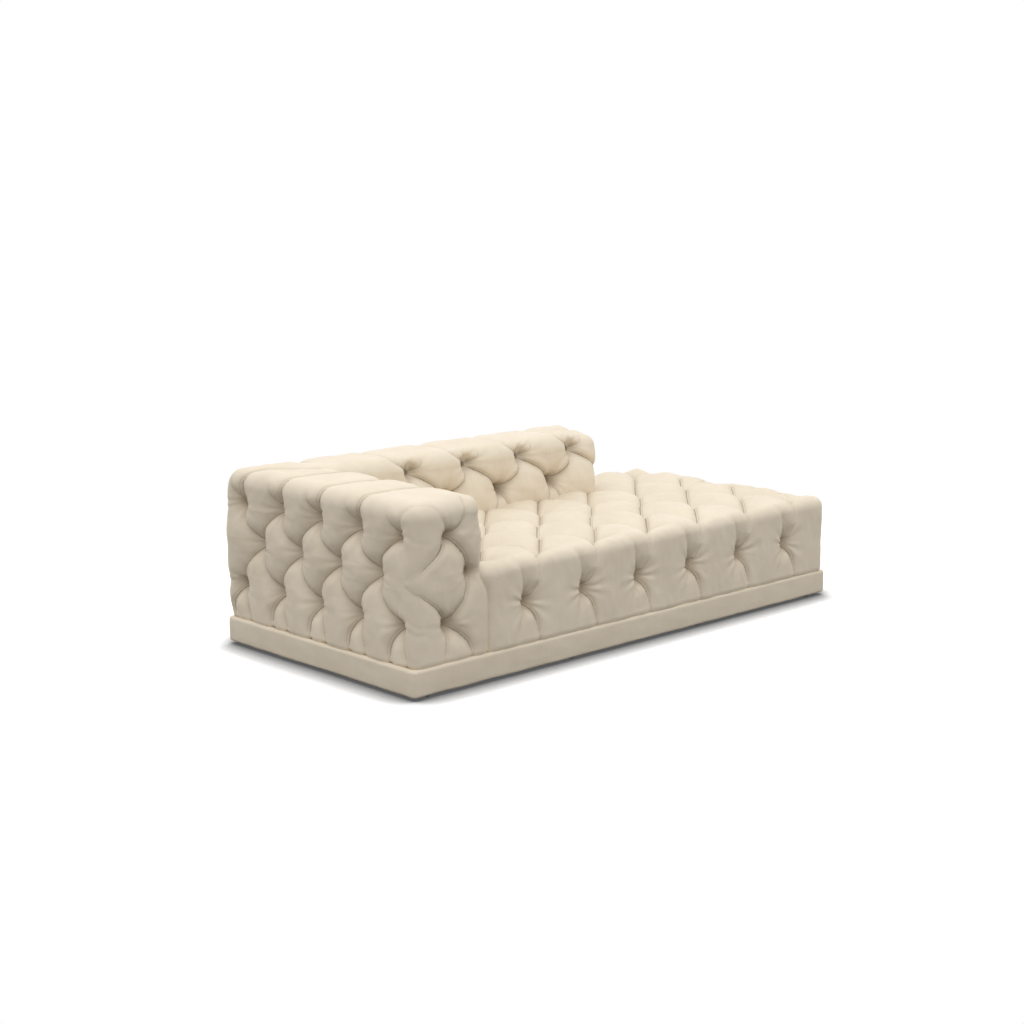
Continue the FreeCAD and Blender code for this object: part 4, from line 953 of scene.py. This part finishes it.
# The arm's inner face has two rows, and its rear the head's three. Marks on it are measured from
# x = 0 along the inner face, or back along the rear. The folds over its top lean towards the head.
arm_s = BACK_FACE - HEAD + ARM_FACE - FRONT - BACK_FACE
rear_s = arm_s + ARM_END + REAR - ARM_FACE + ARM_END
ARM_HALF, ARM_FIRST, ARM_LOW_SHIFT, LEAN = 0.143, 0.435, 0.175, 0.095
for k in range(5):
    x = ARM_FIRST - 2 * ARM_HALF * k
    s, t = arm_s + x, rear_s - x + LEAN
    low_s = s + ARM_LOW_SHIFT
    if k < 4:
        tufts += [(wall_at(s, INNER_HIGH), 1.3), (wall_at(s + 0.024, 0.588), 0.65)]
        bells.append((wall_at(s + 0.022, 0.622), 0.022, 0.045))
        fold(marks_on(wall_at, s, (0.0, INNER_HIGH), (0.036, 0.592), (0.06, 0.617), (0.062, 0.64)),
             [0.4, 0.1, 0.08, 0.03], 0.018, 1, 1.2)
        bells.append((wall_at(low_s - ARM_HALF, 0.445), -0.014, 0.065))
        bowed((s, INNER_HIGH), (low_s, INNER_LOW), 0.012, (1.0, 0.4, 1.0 if k else 0.5), 0.04)
        bowed((s, INNER_HIGH), (low_s - 2 * ARM_HALF, INNER_LOW), 0.036, (1.0, 0.4, 1.0), 0.045, -1, 0.6)
        if k:
            tufts.append((wall_at(low_s, INNER_LOW), 1.3))
            bells.append((wall_at(low_s - 0.006, 0.49), 0.016, 0.034))
            bowed((low_s, INNER_LOW), (low_s + 0.005, 0.505), 0.0, (0.8, 0.4, 0.0), 0.025, 1, 0.4)
            for side in (-1, 1):
                end = (low_s + 0.035 * side, 0.39)
                bowed((low_s, INNER_LOW), end, 0.0, (0.9, 0.35, 0.2), 0.03, side, 0.5)
        fold(
            [*marks_on(wall_at, s, (0.0, INNER_HIGH), (-0.03, 0.605), (-0.065, 0.64)),
             top_at(x - 0.085, ARM_FACE + 0.1), top_at(x - LEAN, REAR - 0.08),
             *marks_on(wall_at, t, (0.0, 0.63), (0.0, HIGH))],
            [1.0, 0.5, 0.35, 0.3, 0.3, 0.5, 1.0], 0.05,
        )
    tufts += [(wall_at(t, HIGH), 1.0), (wall_at(t, LOW), 1.0)]
    if k == 4:
        fold([*marks_on(wall_at, t, (0.0, HIGH), (0.0, 0.6), (0.0, 0.65)), top_at(x - LEAN, 0.4)],
             [1.0, 0.6, 0.5, 0.1], 0.06)
    for side in (-1, 1):
        if (k, side) == (0, -1):
            continue
        for z, lap in ((HIGH, 1), (LOW, -1)):
            bowed((t, z), (t + side * ARM_HALF, MIDDLE), -0.03, (1.0, 0.62, 1.0), lap=lap)
        bowed((t, LOW), (t + side * 0.05, HEM), 0.0, (1.0, 0.65, 0.5), 0.055, side)
    tufts.append((wall_at(t + ARM_HALF, MIDDLE), 1.0))

# The far corner, between the head end and the rear, is full. The arm's end has a rounded top corner
# and one tuft, with folds to both sides and over the top.
far_s = FRONT - REAR
bells += [(wall_at(far_s, z), -0.017, 0.07) for z in (0.18, 0.3, 0.42, 0.54)]
bells.append((wall_at(arm_s + ARM_END, 0.65), 0.02, 0.06))
mid_end, END_TUFT = arm_s + 0.7, 0.56
tufts.append((wall_at(mid_end, END_TUFT), 1.0))
for side in (-1, 1):
    end = (mid_end + 0.11 * side, 0.485)
    bowed((mid_end, END_TUFT), end, 0.01 * side, (1.0, 0.5, 0.4), 0.05, side)
mid_y = (ARM_FACE + REAR) / 2
ridge = [top_at(ARM_END - 0.05, mid_y), top_at(0.44, mid_y)]
fold([*marks_on(wall_at, mid_end, (0.0, END_TUFT), (0.0, 0.62)), *ridge], [1.0, 0.7, 0.5, 0.1], 0.06)

INNER_ROOM, SHRINK_START, SHRINK_RUN = 0.075, 0.48, 0.09


def wall_room(points):
    """How far the wall's cover may go in: 75 mm low on the faces towards the seat, and 56 mm elsewhere.

    Up to the rounded top edge it shrinks to that edge's radius, where a deeper tuft would cross itself.
    """
    inner = (points[:, 0] > HEAD + 0.2) & (points[:, 1] > FRONT + 0.05)
    inner &= (points[:, 0] < ARM_END - 0.05) & (points[:, 1] < REAR - 0.16)
    rise = np.clip((points[:, 2] - SHRINK_START) / SHRINK_RUN, 0, 1)
    return np.where(inner, INNER_ROOM, SIDE_ROOM) * (1 - rise) + WALL_EDGE * rise


attributes = quilt(
    mesh, folds, tufts, bells, depth=0.04, crown=0.5, lift=0.012, wrinkle=0.0009, room=wall_room, seed=23,
)
wall_cover = upholster("wall_cover", mesh, attributes)
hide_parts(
    "back_outer_pad", "back_inner_pad", "back_end_pad", "arm_outer_pad", "arm_inner_pad",
    "arm_end_pad",
)

# Studio floor: a white floor that keeps the soft shadow, with a contact shadow also painted into its colour
# where the object stands close over it. Away from the object it glows, for the camera and in reflections, so
# that the picture is white.
FLOOR_HALF = 30
SEEN_TONE, UNSEEN_TONE = 1.4, 0.08
SHADOW_REACH, SHADOW_POWER = 0.12, 2.6
GLOW_START, GLOW_END, GLOW_LEAST = 1.4, 3.0, 0.1


def graded(nodes, links, value, settings, interpolation="LINEAR"):
    """The result of a Map Range node, with settings for its own inputs by name."""
    node = nodes.new("ShaderNodeMapRange")
    node.interpolation_type = interpolation
    for name, setting in settings.items():
        node.inputs[name].default_value = setting
    links.new(value, node.inputs["Value"])
    return node.outputs["Result"]


floor_mesh = bpy.data.meshes.new("floor")
floor_corners = [(FLOOR_HALF * x, FLOOR_HALF * y, 0) for x, y in ((-1, -1), (1, -1), (1, 1), (-1, 1))]
floor_mesh.from_pydata(floor_corners, [], [(0, 1, 2, 3)])
floor = added("floor", floor_mesh)
white = bpy.data.materials.new("studio_white")
white.use_nodes = True
nodes, links = white.node_tree.nodes, white.node_tree.links
nodes.remove(nodes["Principled BSDF"])
path = nodes.new("ShaderNodeLightPath").outputs
mirrored = computed(nodes, links, "MAXIMUM", path["Is Glossy Ray"], path["Is Transmission Ray"])
seen = computed(nodes, links, "MAXIMUM", path["Is Camera Ray"], mirrored)
tone = graded(nodes, links, seen, {"To Min": UNSEEN_TONE, "To Max": SEEN_TONE})
# Painted contact shadow: ambient occlusion within the shadow's reach, raised to a power, darkens the floor's
# colour.
painted_contact_shadow = nodes.new("ShaderNodeAmbientOcclusion")
painted_contact_shadow.samples = 8
painted_contact_shadow.inputs["Distance"].default_value = SHADOW_REACH
open_share = computed(nodes, links, "POWER", painted_contact_shadow.outputs["AO"], SHADOW_POWER)
paint = nodes.new("ShaderNodeBsdfDiffuse")
links.new(computed(nodes, links, "MULTIPLY", tone, open_share), paint.inputs["Color"])
distance = nodes.new("ShaderNodeVectorMath")
distance.operation = "LENGTH"
links.new(nodes.new("ShaderNodeTexCoord").outputs["Object"], distance.inputs[0])
ends = {"From Min": GLOW_START, "From Max": GLOW_END, "To Min": GLOW_LEAST}
away = graded(nodes, links, distance.outputs["Value"], ends, "SMOOTHSTEP")
glow = nodes.new("ShaderNodeEmission")
mix = nodes.new("ShaderNodeMixShader")
links.new(computed(nodes, links, "MULTIPLY", away, seen), mix.inputs["Fac"])
links.new(paint.outputs["BSDF"], mix.inputs[1])
links.new(glow.outputs["Emission"], mix.inputs[2])
links.new(mix.outputs["Shader"], nodes["Material Output"].inputs["Surface"])
floor_mesh.materials.append(white)

# Studio light and camera: an even light from all round, shown as plain white, a weak broad lamp
# overhead, and the camera at the photograph's place.
SKY_LIGHT, SKY_SHOWN = 1.1, 1.0
LAMP_SIZE, LAMP_POWER, LAMP_COLOUR = 4.0, 40.0, (0.94, 1.0, 1.1)
LAMP_PLACE, LAMP_AIM = Vector((-0.3, 0.2, 4.2)), Vector((0.0, 0.0, 0.2))
LENS, SENSOR = 63.2, 36.0
CAMERA_PLACE, CAMERA_AIM = Vector((-4.757, -4.798, 1.705)), Vector((-0.077, 0.091, 0.412))


def stand(name, data, place, aim):
    """Puts a lamp or camera at a place, turned towards an aim."""
    unit = added(name, data)
    unit.location = place
    unit.rotation_euler = (aim - place).to_track_quat("-Z", "Y").to_euler()
    return unit


world = bpy.data.worlds.new("studio")
bpy.context.scene.world = world
world.use_nodes = True
nodes, links = world.node_tree.nodes, world.node_tree.links
sky = nodes["Background"]
sky.inputs["Color"].default_value = (1, 1, 1, 1)
shown = nodes.new("ShaderNodeLightPath").outputs["Is Camera Ray"]
links.new(graded(nodes, links, shown, {"To Min": SKY_LIGHT, "To Max": SKY_SHOWN}), sky.inputs["Strength"])

overhead = bpy.data.lights.new("overhead", "AREA")
overhead.size = LAMP_SIZE
overhead.energy = LAMP_POWER
overhead.color = LAMP_COLOUR
stand("overhead", overhead, LAMP_PLACE, LAMP_AIM)

camera = bpy.data.cameras.new("camera")
camera.lens = LENS
camera.sensor_width = SENSOR
bpy.context.scene.camera = stand("camera", camera, CAMERA_PLACE, CAMERA_AIM)
bpy.context.scene.view_settings.view_transform = "Standard"
